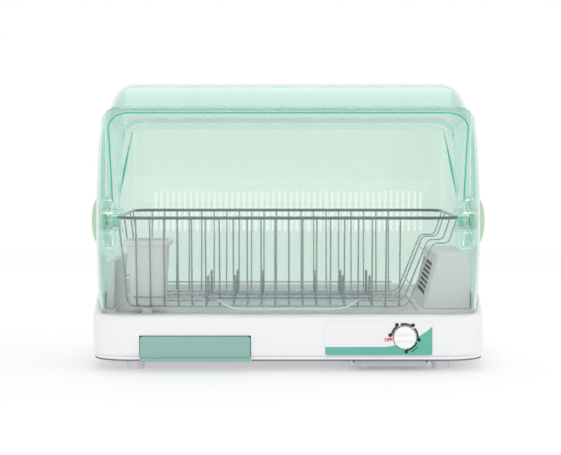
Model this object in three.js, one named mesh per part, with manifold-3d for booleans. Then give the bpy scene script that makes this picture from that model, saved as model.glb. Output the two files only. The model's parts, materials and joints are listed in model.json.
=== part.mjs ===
// A covered electric dish dryer: a base with a timer, a blower and a drip tray, a clear hood and door, and a wire basket.
// Lengths are millimetres. +X is right as seen from the front, the front looks along -Y, and +Z is up.
// The pieces are placed from the door's pivot axis, and the whole is then centred over the origin.
import * as THREE from "three";
import { mergeVertices } from "three/addons/utils/BufferGeometryUtils.js";
import Module from "manifold-3d";

const wasm = await Module();
wasm.setup();

// Fits shared by many pieces
const seatGap = 0.3;
const runningGap = 0.6;
const overrun = 6;

// Base outline, measured from the pivot axis, and the heights of its rim
const baseWidth = 547;
const baseDepth = 385;
const baseFront = 205;
const baseCorner = 52;
const baseWall = 3;
const frontRimHeight = 77;
const sideRimHeight = 100;
const frontEdgeRadius = 7;
const rimEdgeRadius = 2.5;
const rimRiseFront = 165;
const rimRiseBack = 105;
const sideRimWidth = 5.5;
const frontRimWidth = 27;
const backRimWidth = 22;
const panLedgeWidth = 13;
const panLedgeHeight = 73.5;

// Bottom plate and feet
const footHeight = 15.2;
const footRadius = 13.5;
const footPadRadius = 9.8;
const footPadHeight = 7;
const footChamfer = 1;
const footStudRadius = 4;
const footStudLength = 4.6;
const footAcross = 213;
const footFront = 170;
const footBack = 140;
const plateThickness = 5.5;
const plateInset = 2.7;
const screwRadius = 2;
const screwHeadRadius = 4.2;
const screwHeadHeight = 2.4;
const screwLength = 11;
const screwInset = 30;
const screwFront = 150;
const screwBack = 130;
const screwBossRadius = 6;
const screwBossHeight = 14;

// Drain pan and spout
const panThickness = 3;
const panDishWall = 2.5;
const panDishDepth = 5;
const panDishSide = 247;
const panDishRight = 186;
const panDishFront = 157;
const panDishBack = 137;
const panDishCorner = 30;
const panPostLength = 14;
const panPostWidth = 8;
const panPostInset = 24;
const ductOpeningLeft = 204;
const ductOpeningRight = 250;
const ductOpeningFront = 75;
const ductOpeningBack = 72;
const spoutAcross = 128;
const spoutFront = 120;
const spoutRadius = 8;
const spoutBore = 6;
const spoutFlangeRadius = 14;
const spoutFlangeHeight = 1.5;
const spoutBottom = 49;

// Drip tray
const trayLeft = 204;
const trayRight = 52;
const trayTop = 49.5;
const trayBottom = 14.7;
const trayFrontThickness = 3.5;
const trayProud = 2.4;
const trayWall = 2;
const trayBodyInset = 5;
const trayDepth = 148;
const trayBodyHeight = 26;
const trayCorner = 4;
const trayGap = 0.8;
const trayLipHeight = 5;
const trayLipReach = 2.6;
const trayGuideHeight = 10;
const trayGuideLength = 122;
const trayGuideWall = 2;

// Left guard and warm-air tower, both standing on the pan
const towerFront = 95;
const towerBack = 92;
const towerWall = 2.5;
const towerEdge = 6;
const guardEdge = 3;
const guardWall = 2;
const guardBottomOuter = 267.2;
const guardBottomInner = 254;
const guardTopOuter = 258;
const guardTopInner = 249;
const guardTopGap = 16;
const towerBottomInner = 194;
const towerTopInner = 214;
const towerTopGap = 4;
const towerTopOuter = 250;
const towerShoulder = 262;
const towerShoulderDrop = 10;
const towerBottomOuter = 266.6;
const towerBendRadius = 6;
const outletLow = 12;
const outletHigh = 70;
const outletFront = 80;
const outletBack = 77;
const outletFrame = 4;
const outletDepth = 3;
const outletProud = 1.5;
const louvreCount = 6;
const louvreThickness = 1.6;

// Door pivot, door and its finger lip
const pivotHeight = 199;
const doorRadius = 216;
const doorHalfWidth = 265;
const doorHubHalfWidth = 277.5;
const doorCorner = 30;
const doorWall = 3;
const doorTopAngle = 51;
const doorSwing = 81;
const stopAngle = 1;
const doorRest = 0.8;
const doorRearEdge = 1;
const hubRadius = 38;
const lipHeight = 98;
const lipRootHalf = 98;
const lipTipHalf = 58;
const lipCurve = 24;
const lipReach = 18.8;
const lipThickness = 2.6;
const lipSink = 2.2;
const lipAngle = 38;

// Rear hood
const hoodWall = 2.5;
const domeRadius = 204;
const domeHalfWidth = 258.8;
const domeHubHalfWidth = 262.8;
const domeCorner = 33;
const flangeGap = 1.5;
const hubGap = 2;
const hoodBack = 165;
const hoodBackCorner = 28;
const hoodSideAtBack = 269;
const hoodFrontEdge = 1.5;
const hoodDrop = 10.6;
const hoodDropDepth = 4;
const ventBottom = 175;
const ventTop = 239;
const ventHalfSpan = 211;
const ventCount = 46;
const ventWidth = 4.4;

// Pivot caps and clips
const capRadius = 35.5;
const capRise = 10.9;
const capEdge = 4;
const capShaftRadius = 10;
const capShaftBore = 7;
const capShaftEnd = 253;
const capHollow = 3;
const bossRadius = 20;
const hoodBossReach = 268;
const clipEnd = 247.5;
const clipLugRadius = 3.6;
const clipLugSpread = 14;
const clipBarThickness = 2.4;
const clipBarWidth = 8;

// Wire basket
const rimWire = 4.6;
const wire = 2.9;
const weld = 0.7;
const rimRise = 10;
const rimLeft = 243;
const rimRight = 241;
const rimFront = 135;
const rimBack = 150;
const rimCorner = 30;
const bottomWireHeight = 81.8;
const wireCount = 20;
const wireFirst = 215.5;
const wireLast = 158.5;
const floorFront = 112;
const floorBack = 127;
const heelHeight = 92;
const heelReach = 8;
const floorLeft = 226;
const floorRight = 168;
const leftHeel = 231;
const leftWaist = 233;
const leftWaistHeight = 125;
const stepTop = 229;
const stepInner = 207;
const stepRise = 15;
const rightHeel = 175;
const wireBend = 6;
const sideWireFirst = 107;
const sideWireSecond = 20;
const sideWireThird = 73;
const sideWireLast = 122;
const upperTieDrop = 14;
const lowerTieRise = 16;
const tieReach = 5;
const endTieRise = 12;

// Plate racks
const rackApart = 104;
const rackHalf = 15;
const rackTop = 121;
const rackFirstWire = 5;
const rackWireStep = 2;
const rackHoops = 7;
const rackWire = 2.6;
const rackBend = 9;

// Cutlery holder
const holderLeft = 235;
const holderRight = 168;
const holderFront = 123.5;
const holderBack = 44;
const holderTop = 176;
const holderRimDrop = 7;
const holderRimReach = 4;
const holderTaper = 5.5;
const holderWall = 2;
const holderCorner = 9;
const holderSlots = 3;
const holderSlotWidth = 5;
const holderSlotInset = 10;

// Timer, knob and control plate
const controlPlateLeft = 50.7;
const controlPlateRight = 198.2;
const controlPlateTop = 70;
const controlPlateBottom = 23;
const controlPlateThickness = 1.2;
const controlPlateCorner = 2;
const knobAcross = 160;
const knobHeight = 48.3;
const knobRadius = 15.6;
const knobSkirt = 6;
const knobReach = 14;
const knobGripWidth = 6.5;
const knobFlutes = 20;
const knobFluteDepth = 0.7;
const knobClearance = 0.6;
const timerShaftRadius = 3;
const timerShaftIn = 8;
const timerHole = 4.5;
const timerWidth = 40;
const timerDepth = 32;

// Blower, heater and wiring in the base
const fanAcross = 141;
const fanFront = 100;
const scrollStart = 43;
const scrollEnd = 56;
const scrollWall = 2;
const scrollHeight = 31;
const coverThickness = 1.8;
const inletRadius = 31;
const fanRadius = 39;
const fanBladeDepth = 8;
const fanBlades = 16;
const fanBladeThickness = 1.2;
const fanBladeLean = 35;
const fanRing = 1.5;
const fanClearance = 4;
const fanHubRadius = 6;
const fanShaftRadius = 2;
const motorRadius = 23;
const motorHeight = 14;
const motorCollarRadius = 9;
const ductLeft = 198.5;
const ductRight = 254;
const ductFront = 102;
const ductBack = 78;
const ductWall = 2;
const heaterAcross = 228;
const heaterRuns = 4;
const heaterRise = 14.9;
const heaterTopGap = 20;
const heaterFront = 64;
const heaterBack = 61;
const heaterTube = 6.5;
const heaterFrameWidth = 24;
const heaterFrameSheet = 1.5;
const heaterFrameFoot = 12;
const cutoutRadius = 8;
const cutoutHeight = 6;
const terminalLength = 42;
const terminalWidth = 18;
const terminalHeight = 15;
const terminalPoles = 3;
const terminalAcross = 60;
const terminalBack = 120;
const glandInset = 16.5;
const glandHeight = 46;
const glandRadius = 8;
const glandBore = 3.5;
const glandFlange = 11;
const glandFlangeThickness = 2.5;

// Filter cover under the base
const filterLeft = 92;
const filterRight = 190.5;
const filterFront = 194;
const filterDepth = 130;
const filterBottom = 6.8;
const filterWall = 1.6;
const filterTop = 14.6;
const tongueReach = 2.4;
const tongueThickness = 1.5;
const tongueBottom = 10.8;
const railWall = 2;
const intakeSlots = 9;
const intakeSlotWidth = 5;
const meshThickness = 1.2;
const meshBar = 2;
const meshRows = 4;
const meshColumns = 4;
const filterSlots = 8;
const filterSlotWidth = 6;
const filterSlotInset = 12;
const filterNubWidth = 7;
const filterNubDrop = 1.6;
const filterNubDepth = 5;
const filterNubInset = 9;

// Facets and angles
const degree = Math.PI / 180;
const drumSides = 40;
const roundSides = 20;
const smallSides = 10;
const wireSides = 5;
const rimSides = 6;
const cornerSteps = 3;
const halfShare = 0.5;

// Derived places
const halfBase = baseWidth / 2;
const baseBack = baseDepth - baseFront;
const plateTop = footHeight + seatGap + plateThickness;
const housingBottom = plateTop + seatGap;
const panTop = panLedgeHeight + seatGap + panThickness;
const dishFloor = panTop - panDishDepth;
const towerBottom = panTop + seatGap;
const towerTop = pivotHeight - hubRadius - towerTopGap;
const guardTop = pivotHeight - hubRadius - guardTopGap;
const towerShoulderHeight = towerTop - towerShoulderDrop;
const stepHeight = towerTop + stepRise;
const rimHeight = pivotHeight + rimRise;
const heaterLow = towerBottom + heaterRise;
const heaterPitch = (towerTop - heaterTopGap - heaterLow) / (heaterRuns - 1);
const glandAcross = halfBase - baseCorner - glandInset;
const shoulderAngle = doorTopAngle + doorSwing + stopAngle;
const farReach = doorRadius * 2;
const floorWireHeight = bottomWireHeight + wire - weld;
const wirePitch = (wireFirst + wireLast) / (wireCount - 1);
const timerFace = baseFront - baseWall - seatGap;
const controlPlateFace = baseFront + seatGap + controlPlateThickness;
const knobBack = controlPlateFace + knobClearance;
const capSeat = doorHubHalfWidth + runningGap;
const capReach = capSeat + capEdge + capRise;
const farSide = doorHubHalfWidth + overrun;
const frontReach = Math.max(doorRadius, knobBack + knobReach);
const backReach = baseBack + seatGap + glandFlangeThickness;
const coverBottom = housingBottom + scrollHeight + seatGap;
const coverTop = coverBottom + coverThickness;

// Half the width of the step in the back rim that the hood's back wall drops into
const hoodSeatHalf =
  hoodSideAtBack -
  hoodBackCorner +
  Math.sqrt(hoodBackCorner ** 2 - (hoodBackCorner - hoodDropDepth) ** 2) +
  runningGap;

// A geometry as a solid: only positions count, shared corners are merged and the faces point outwards
function solid(geometry) {
  const bare = geometry.index ? geometry.toNonIndexed() : geometry.clone();
  Object.keys(bare.attributes)
    .filter((name) => name !== "position")
    .forEach((name) => bare.deleteAttribute(name));
  const merged = mergeVertices(bare);
  const corners = merged.index.array;
  const triangles = [];
  for (let i = 0; i < corners.length; i += 3) {
    const [a, b, c] = [corners[i], corners[i + 1], corners[i + 2]];
    if (a !== b && b !== c && c !== a) triangles.push([a, b, c]);
  }
  const build = (faces) =>
    new wasm.Manifold(
      new wasm.Mesh({
        numProp: 3,
        vertProperties: merged.attributes.position.array,
        triVerts: new Uint32Array(faces.flat()),
      }),
    );
  const made = build(triangles);
  return made.volume() < 0 ? build(triangles.map(([a, b, c]) => [a, c, b])) : made;
}

const joined = (bodies) => bodies.reduce((sum, body) => sum.add(body));
const cut = (body, cutters) => cutters.reduce((rest, cutter) => rest.subtract(cutter), body);
const range = (count) => Array.from({ length: count }, (_, i) => i);

// A solid as a named mesh of the scene
function piece(name, body, material) {
  const made = body.getMesh();
  const geometry = new THREE.BufferGeometry();
  geometry.setAttribute("position", new THREE.BufferAttribute(made.vertProperties, 3));
  geometry.setIndex(new THREE.BufferAttribute(made.triVerts, 1));
  const flat = geometry.toNonIndexed();
  flat.computeVertexNormals();
  const mesh = new THREE.Mesh(flat, material);
  mesh.name = name;
  return mesh;
}

function box(x0, x1, y0, y1, z0, z1) {
  const geometry = new THREE.BoxGeometry(x1 - x0, y1 - y0, z1 - z0);
  return solid(geometry.translate((x0 + x1) / 2, (y0 + y1) / 2, (z0 + z1) / 2));
}

const polygon = (points) => new THREE.Shape(points.map(([u, v]) => new THREE.Vector2(u, v)));

function roundedRect(u0, u1, v0, v1, radius) {
  const shape = new THREE.Shape();
  shape.absarc(u1 - radius, v0 + radius, radius, -Math.PI / 2, 0);
  shape.absarc(u1 - radius, v1 - radius, radius, 0, Math.PI / 2);
  shape.absarc(u0 + radius, v1 - radius, radius, Math.PI / 2, Math.PI);
  shape.absarc(u0 + radius, v0 + radius, radius, Math.PI, 1.5 * Math.PI);
  return shape;
}

// Prisms whose outline is drawn in the other two axes, in their alphabetical order
const outlineBases = {
  x: [new THREE.Vector3(0, 1, 0), new THREE.Vector3(0, 0, 1), new THREE.Vector3(1, 0, 0)],
  y: [new THREE.Vector3(1, 0, 0), new THREE.Vector3(0, 0, 1), new THREE.Vector3(0, -1, 0)],
  z: [new THREE.Vector3(1, 0, 0), new THREE.Vector3(0, 1, 0), new THREE.Vector3(0, 0, 1)],
};

function prismGeometry(axis, shape, low, high, options = {}) {
  const depth = high - low;
  const settings = { depth, bevelEnabled: false, curveSegments: cornerSteps, ...options };
  const geometry = new THREE.ExtrudeGeometry(shape, settings);
  geometry.translate(0, 0, axis === "y" ? -high : low);
  return geometry.applyMatrix4(new THREE.Matrix4().makeBasis(...outlineBases[axis]));
}

const prism = (axis, shape, low, high, options) =>
  solid(prismGeometry(axis, shape, low, high, options));

// A round bar along an axis, through a point given in the other two axes
function bar(axis, radius, low, high, u, v, sides = smallSides) {
  const geometry = new THREE.CylinderGeometry(radius, radius, high - low, sides);
  geometry.translate(0, (low + high) / 2, 0);
  if (axis === "x") geometry.rotateZ(-Math.PI / 2).translate(0, u, v);
  if (axis === "y") geometry.translate(u, 0, v);
  if (axis === "z") geometry.rotateX(Math.PI / 2).translate(u, v, 0);
  return solid(geometry);
}

// A turned body: the profile holds pairs of radius and height along the axis
function turned(axis, profile, u, v, sides = roundSides) {
  const points = profile.map(([r, h]) => new THREE.Vector2(r, h));
  const geometry = new THREE.LatheGeometry(points, sides);
  if (axis === "x") geometry.rotateZ(-Math.PI / 2).translate(0, u, v);
  if (axis === "y") geometry.translate(u, 0, v);
  if (axis === "z") geometry.rotateX(Math.PI / 2).translate(u, v, 0);
  return solid(geometry);
}

// A path of straight runs, read point by point, so that a bend keeps the corners it is given
class WirePath extends THREE.Curve {
  constructor(points) {
    super();
    this.points = points;
  }

  getPoint(t) {
    const place = t * (this.points.length - 1);
    const i = Math.min(Math.floor(place), this.points.length - 2);
    return this.points[i].clone().lerp(this.points[i + 1], place - i);
  }

  getUtoTmapping(u) {
    return u;
  }

  getTangent(t) {
    const last = this.points.length - 1;
    const i = Math.round(t * last);
    const before = this.points[Math.max(i - 1, 0)];
    const after = this.points[Math.min(i + 1, last)];
    const here = this.points[i];
    const into = i > 0 ? here.clone().sub(before).normalize() : new THREE.Vector3();
    const outOf = i < last ? after.clone().sub(here).normalize() : new THREE.Vector3();
    return into.add(outOf).normalize();
  }
}

// Corner points with each inner corner rounded by a short arc
function rounded(corners, radius, steps = 1) {
  const points = corners.map(([x, y, z]) => new THREE.Vector3(x, y, z));
  const path = [points[0]];
  for (let i = 1; i < points.length - 1; i++) {
    const toBefore = points[i - 1].clone().sub(points[i]);
    const toAfter = points[i + 1].clone().sub(points[i]);
    const back = Math.min(radius, toBefore.length() / 2, toAfter.length() / 2);
    const start = points[i].clone().addScaledVector(toBefore.normalize(), back);
    const end = points[i].clone().addScaledVector(toAfter.normalize(), back);
    const bend = new THREE.QuadraticBezierCurve3(start, points[i], end);
    path.push(...bend.getPoints(steps));
  }
  path.push(points[points.length - 1]);
  return path;
}

// A round wire along a path
function wireAlong(path, diameter, sides = wireSides) {
  const ring = range(sides).map((i) => {
    const turn = (2 * Math.PI * (i + halfShare)) / sides;
    return [(diameter / 2) * Math.cos(turn), (diameter / 2) * Math.sin(turn)];
  });
  const extrudePath = new WirePath(path);
  const steps = path.length - 1;
  return solid(new THREE.ExtrudeGeometry(polygon(ring), { extrudePath, steps, bevelEnabled: false }));
}

const straightWire = (from, to, diameter) => wireAlong(rounded([from, to], 0), diameter);

// Materials
const paint = (color, roughness, metalness = 0, opacity = 1) =>
  new THREE.MeshStandardMaterial({
    color,
    roughness,
    metalness,
    opacity,
    transparent: opacity < 1,
  });
const whitePlastic = paint(0xf1f2f5, 0.35);
const greyPlastic = paint(0xb9bbbd, 0.5);
const clearGreen = paint(0x9fd9c4, 0.12, 0, 0.45);
const paleGreen = paint(0xbed4bc, 0.45);
const trayGreen = paint(0x96c8bb, 0.3, 0, 0.85);
const chrome = paint(0x8b9399, 0.2, 1);
const holderWhite = paint(0xc8c6c8, 0.5);
const rubber = paint(0xa9a9a9, 0.8);
const blackPlastic = paint(0x26282a, 0.6);
const steel = paint(0x9a9da0, 0.35, 1);
const filterGrey = paint(0x8c9296, 0.8);

// The base's outline in plan, drawn in by an inset
const baseOutline = (inset) =>
  roundedRect(
    -halfBase + inset,
    halfBase - inset,
    -baseFront + inset,
    baseBack - inset,
    baseCorner - inset,
  );

// The rim's line in side view, from back to front, as it is continued on a shape: flat, a long rise, and low in front
function followRim(shape, lift) {
  const middle = (rimRiseFront + rimRiseBack) / 2;
  shape.lineTo(-rimRiseBack, sideRimHeight + lift);
  shape.bezierCurveTo(
    -middle,
    sideRimHeight + lift,
    -middle,
    frontRimHeight + lift,
    -rimRiseFront,
    frontRimHeight + lift,
  );
}

function baseSideOutline() {
  const shape = new THREE.Shape();
  shape.moveTo(-baseFront, housingBottom);
  shape.lineTo(baseBack, housingBottom);
  shape.absarc(baseBack - rimEdgeRadius, sideRimHeight - rimEdgeRadius, rimEdgeRadius, 0, Math.PI / 2);
  followRim(shape, 0);
  shape.absarc(
    -baseFront + frontEdgeRadius,
    frontRimHeight - frontEdgeRadius,
    frontEdgeRadius,
    Math.PI / 2,
    Math.PI,
  );
  return shape;
}

const screwPlaces = [-1, 1].flatMap((side) => [
  [side * (halfBase - screwInset), -screwFront],
  [side * (halfBase - screwInset), screwBack],
]);

function baseHousing() {
  const frontOutline = roundedRect(-halfBase, halfBase, 0, sideRimHeight, rimEdgeRadius);
  const block = prism("z", baseOutline(0), housingBottom, sideRimHeight)
    .intersect(prism("x", baseSideOutline(), -halfBase, halfBase, { curveSegments: cornerSteps * 2 }))
    .intersect(prism("y", frontOutline, -baseFront, baseBack));
  const opening = (side, front, back) =>
    roundedRect(
      -halfBase + side,
      halfBase - side,
      -baseFront + front,
      baseBack - back,
      baseCorner - side,
    );
  const upper = opening(sideRimWidth, frontRimWidth, backRimWidth);
  const ledge = opening(
    sideRimWidth + panLedgeWidth,
    frontRimWidth + panLedgeWidth,
    backRimWidth + panLedgeWidth,
  );
  const hoodSeat = box(
    -hoodSeatHalf,
    hoodSeatHalf,
    hoodBack - hoodDropDepth - runningGap,
    hoodBack + runningGap,
    sideRimHeight - hoodDrop,
    sideRimHeight + overrun,
  );
  const trayOpening = box(
    -trayLeft - trayGap,
    -trayRight + trayGap,
    -baseFront - overrun,
    -baseFront + baseWall + overrun,
    housingBottom - overrun,
    trayTop + trayGap,
  );
  const shell = cut(block, [
    prism("z", upper, panLedgeHeight, sideRimHeight + overrun),
    prism("z", ledge, housingBottom - overrun, panLedgeHeight + overrun),
    prism("z", baseOutline(baseWall), housingBottom - overrun, panLedgeHeight - baseWall),
    hoodSeat,
    trayOpening,
    bar("y", timerHole, -baseFront - overrun, -baseFront + baseWall + overrun, knobAcross, knobHeight),
    bar(
      "y",
      glandRadius + seatGap,
      baseBack - baseWall - overrun,
      baseBack + overrun,
      glandAcross,
      glandHeight,
    ),
  ]);
  const bosses = screwPlaces.map(([x, y]) =>
    joined([
      bar("z", screwBossRadius, housingBottom, housingBottom + screwBossHeight, x, y),
      box(
        Math.min(x, Math.sign(x) * (halfBase - baseWall / 2)),
        Math.max(x, Math.sign(x) * (halfBase - baseWall / 2)),
        y - baseWall / 2,
        y + baseWall / 2,
        housingBottom,
        housingBottom + screwBossHeight,
      ),
    ]),
  );
  const bores = screwPlaces.map(([x, y]) =>
    bar("z", screwRadius + seatGap, housingBottom - overrun, housingBottom + screwLength, x, y),
  );
  return cut(joined([shell, ...bosses]), bores);
}

const footPlaces = {
  foot_front_left: [-footAcross, -footFront],
  foot_front_right: [footAcross, -footFront],
  foot_back_left: [-footAcross, footBack],
  foot_back_right: [footAcross, footBack],
};

function bottomPlate() {
  const bottom = footHeight + seatGap;
  const plate = prism("z", baseOutline(plateInset), bottom, plateTop);
  const trayNotch = box(
    -trayLeft - trayGap,
    -trayRight + trayGap,
    -baseFront - overrun,
    -baseFront - trayProud + trayFrontThickness + trayGap,
    bottom - overrun,
    plateTop + overrun,
  );
  const slotPitch = (2 * inletRadius) / (intakeSlots + 1);
  const slots = range(intakeSlots).map((i) => {
    const x = fanAcross - inletRadius + slotPitch * (i + 1);
    const half = Math.sqrt(inletRadius ** 2 - (x - fanAcross) ** 2);
    return box(
      x - intakeSlotWidth / 2,
      x + intakeSlotWidth / 2,
      -fanFront - half,
      -fanFront + half,
      bottom - overrun,
      plateTop + overrun,
    );
  });
  const holes = [
    ...Object.values(footPlaces).map(([x, y]) =>
      bar("z", footStudRadius + seatGap, bottom - overrun, plateTop + overrun, x, y),
    ),
    ...screwPlaces.map(([x, y]) =>
      bar("z", screwRadius + seatGap, bottom - overrun, plateTop + overrun, x, y),
    ),
    ...screwPlaces.map(([x, y]) =>
      bar("z", screwHeadRadius + seatGap, bottom - overrun, bottom + screwHeadHeight + seatGap, x, y),
    ),
  ];
  const rails = [-1, 1].map((side) => {
    const wall = side < 0 ? filterLeft : filterRight;
    const inner = wall + side * (tongueReach + runningGap);
    const outer = inner + side * railWall;
    const toe = wall + side * runningGap;
    const span = (a, b, z0, z1) =>
      box(
        Math.min(a, b),
        Math.max(a, b),
        -filterFront,
        -filterFront + filterDepth,
        z0,
        z1,
      );
    return joined([
      span(inner, outer, tongueBottom - seatGap - tongueThickness, bottom + seatGap),
      span(toe, outer, tongueBottom - seatGap - tongueThickness, tongueBottom - seatGap),
    ]);
  });
  const guides = [
    -trayLeft + trayBodyInset - trayGap - trayGuideWall,
    -trayRight - trayBodyInset + trayGap,
  ].map((x) =>
    box(
      x,
      x + trayGuideWall,
      -baseFront + baseWall + overrun,
      -baseFront + baseWall + overrun + trayGuideLength,
      plateTop - seatGap,
      plateTop + trayGuideHeight,
    ),
  );
  return cut(joined([plate, ...rails, ...guides]), [trayNotch, ...slots, ...holes]);
}

function foot(x, y) {
  const profile = [
    [0, 0],
    [footPadRadius - footChamfer, 0],
    [footPadRadius, footChamfer],
    [footPadRadius, footPadHeight],
    [footRadius - footChamfer, footPadHeight + footChamfer],
    [footRadius, footHeight - footChamfer],
    [footRadius, footHeight],
    [footStudRadius, footHeight],
    [footStudRadius, footHeight + footStudLength],
    [0, footHeight + footStudLength],
  ];
  return turned("z", profile, x, y, smallSides);
}

function baseScrew(x, y) {
  const bottom = footHeight + seatGap + seatGap;
  const profile = [
    [0, bottom],
    [screwHeadRadius, bottom],
    [screwHeadRadius, bottom + screwHeadHeight - seatGap],
    [screwRadius, bottom + screwHeadHeight - seatGap],
    [screwRadius, bottom + screwLength],
    [0, bottom + screwLength],
  ];
  return turned("z", profile, x, y, smallSides);
}

function drainPan() {
  const opening = (grow) =>
    roundedRect(
      -halfBase + sideRimWidth + seatGap + grow,
      halfBase - sideRimWidth - seatGap - grow,
      -baseFront + frontRimWidth + seatGap + grow,
      baseBack - backRimWidth - seatGap - grow,
      baseCorner - sideRimWidth - seatGap - grow,
    );
  const dish = (grow) =>
    roundedRect(
      -panDishSide - grow,
      panDishRight + grow,
      -panDishFront - grow,
      panDishBack + grow,
      panDishCorner + grow,
    );
  const plate = prism("z", opening(0), panTop - panThickness, panTop);
  const well = prism("z", dish(panDishWall), dishFloor - panDishWall, panTop);
  const posts = [sideWirePlaces[0], sideWirePlaces[sideWirePlaces.length - 1]].flatMap((y) =>
    [-floorLeft + panPostInset, floorRight - panPostInset].map((x) =>
      box(
        x - panPostLength / 2,
        x + panPostLength / 2,
        y - panPostWidth / 2,
        y + panPostWidth / 2,
        dishFloor - panDishWall / 2,
        bottomWireHeight - wire / 2 - seatGap,
      ),
    ),
  );
  const basin = joined([plate, well]).subtract(prism("z", dish(0), dishFloor, panTop + overrun));
  const duct = box(
    ductOpeningLeft,
    ductOpeningRight,
    -ductOpeningFront,
    ductOpeningBack,
    dishFloor - overrun,
    panTop + overrun,
  );
  const drain = bar(
    "z",
    spoutRadius + seatGap,
    dishFloor - panDishWall - overrun,
    panTop,
    -spoutAcross,
    -spoutFront,
  );
  return cut(joined([basin, ...posts]), [duct, drain]);
}

function drainSpout() {
  const seat = dishFloor + seatGap;
  const profile = [
    [spoutBore, spoutBottom],
    [spoutRadius, spoutBottom],
    [spoutRadius, seat],
    [spoutFlangeRadius, seat],
    [spoutFlangeRadius, seat + spoutFlangeHeight],
    [spoutBore, seat + spoutFlangeHeight],
    [spoutBore, spoutBottom],
  ];
  return turned("z", profile, -spoutAcross, -spoutFront, smallSides);
}

function dripTray() {
  const face = -baseFront - trayProud;
  const floor = plateTop + seatGap;
  const left = -trayLeft + trayBodyInset;
  const right = -trayRight - trayBodyInset;
  const back = face + trayDepth;
  const front = prism(
    "y",
    roundedRect(-trayLeft, -trayRight, trayBottom, trayTop, trayCorner),
    face,
    face + trayFrontThickness,
  );
  const lip = prism(
    "y",
    roundedRect(-trayLeft, -trayRight, trayBottom, trayBottom + trayLipHeight, trayLipHeight / 2),
    face - trayLipReach,
    face + trayFrontThickness,
  );
  const body = box(left, right, face + trayFrontThickness / 2, back, floor, floor + trayBodyHeight);
  const hollow = box(
    left + trayWall,
    right - trayWall,
    face + trayFrontThickness,
    back - trayWall,
    floor + trayWall,
    floor + trayBodyHeight + overrun,
  );
  return joined([front, lip, body]).subtract(hollow);
}

// The left guard and the air tower are drawn in front view and rounded at their front and back edges
function standing(shape, innerShape, wall, edge) {
  const bevel = {
    bevelEnabled: true,
    bevelThickness: edge,
    bevelSize: edge,
    bevelOffset: -edge,
    bevelSegments: 3,
  };
  const outer = prism("y", shape, -towerFront + edge, towerBack - edge, bevel);
  const inner = prism("y", innerShape, -towerFront + wall, towerBack - wall);
  const floor = box(
    -halfBase,
    halfBase,
    -towerFront - overrun,
    towerBack + overrun,
    0,
    towerBottom,
  );
  return cut(outer, [inner, floor]);
}

function leftGuard() {
  const outline = (inset) => {
    const low = towerBottom - 2 * towerEdge;
    const rise = guardTop - towerBottom;
    const spreadShare = (guardTop - low) / rise;
    return polygon([
      [-guardTopOuter - (guardBottomOuter - guardTopOuter) * spreadShare + inset, low],
      [-guardTopInner - (guardBottomInner - guardTopInner) * spreadShare - inset, low],
      [-guardTopInner - inset, guardTop - inset],
      [-guardTopOuter + inset, guardTop - inset],
    ]);
  };
  return standing(outline(0), outline(guardWall), guardWall, guardEdge);
}

const towerSlope = new THREE.Vector2(towerTopInner - towerBottomInner, towerTop - towerBottom);
const towerUp = towerSlope.clone().normalize();

// A point on the tower's slanted face: how far up the slope, and how far out of it
const onSlope = (along, out) => [
  towerBottomInner + towerUp.x * along - towerUp.y * out,
  towerBottom + towerUp.y * along + towerUp.x * out,
];

function towerOutline(inset) {
  const low = towerBottom - 2 * towerEdge;
  const lowShare = (low - towerBottom) / towerUp.y;
  const shape = new THREE.Shape();
  const [startX, startZ] = onSlope(lowShare, -inset);
  shape.moveTo(startX, startZ);
  shape.lineTo(towerBottomOuter - inset, low);
  shape.lineTo(towerBottomOuter - inset, towerBottom);
  shape.lineTo(towerShoulder - inset, towerShoulderHeight - inset);
  shape.quadraticCurveTo(
    towerShoulder - inset,
    towerTop - inset,
    towerTopOuter - inset,
    towerTop - inset,
  );
  shape.lineTo(towerTopInner + towerBendRadius, towerTop - inset);
  const [endX, endZ] = onSlope(towerSlope.length() - towerBendRadius, -inset);
  shape.quadraticCurveTo(towerTopInner + inset, towerTop - inset, endX, endZ);
  return shape;
}

function airTower() {
  const shell = standing(towerOutline(0), towerOutline(towerWall), towerWall, towerEdge);
  const window = prism(
    "y",
    polygon([
      onSlope(outletLow, overrun),
      onSlope(outletHigh, overrun),
      onSlope(outletHigh, -towerWall - overrun),
      onSlope(outletLow, -towerWall - overrun),
    ]),
    -outletFront,
    outletBack,
  );
  return shell.subtract(window);
}

function outletGrille() {
  const bars = (a, b, from, to, front, back) =>
    prism(
      "y",
      polygon([onSlope(a, to), onSlope(b, to), onSlope(b, from), onSlope(a, from)]),
      front,
      back,
    );
  const low = outletLow + seatGap;
  const high = outletHigh - seatGap;
  const front = -outletFront + seatGap;
  const back = outletBack - seatGap;
  const inner = -outletDepth;
  const frame = bars(low, high, inner, outletProud, front, back).subtract(
    bars(
      low + outletFrame,
      high - outletFrame,
      inner - overrun,
      outletProud + overrun,
      front + outletFrame,
      back - outletFrame,
    ),
  );
  const pitch = (high - low - 2 * outletFrame) / (louvreCount + 1);
  const louvres = range(louvreCount).map((i) => {
    const at = low + outletFrame + pitch * (i + 1) - louvreThickness / 2;
    return bars(at, at + louvreThickness, inner, 0, front + outletFrame / 2, back - outletFrame / 2);
  });
  return joined([frame, ...louvres]);
}

// The drum that the door and hood are cut from: its sides widen towards the hub and its edges are rounded
function drum(radius, halfWidth, hubHalfWidth, corner) {
  const half = range(cornerSteps + 1).map((i) => {
    const turn = (i / cornerSteps) * 90 * degree;
    return [
      radius - corner + corner * Math.sin(turn),
      halfWidth - corner + corner * Math.cos(turn),
    ];
  });
  const right = [[0, hubHalfWidth], [hubRadius, hubHalfWidth], ...half];
  const left = right.map(([r, x]) => [r, -x]).reverse();
  return turned("x", [...right, ...left], 0, 0, drumSides);
}

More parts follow.
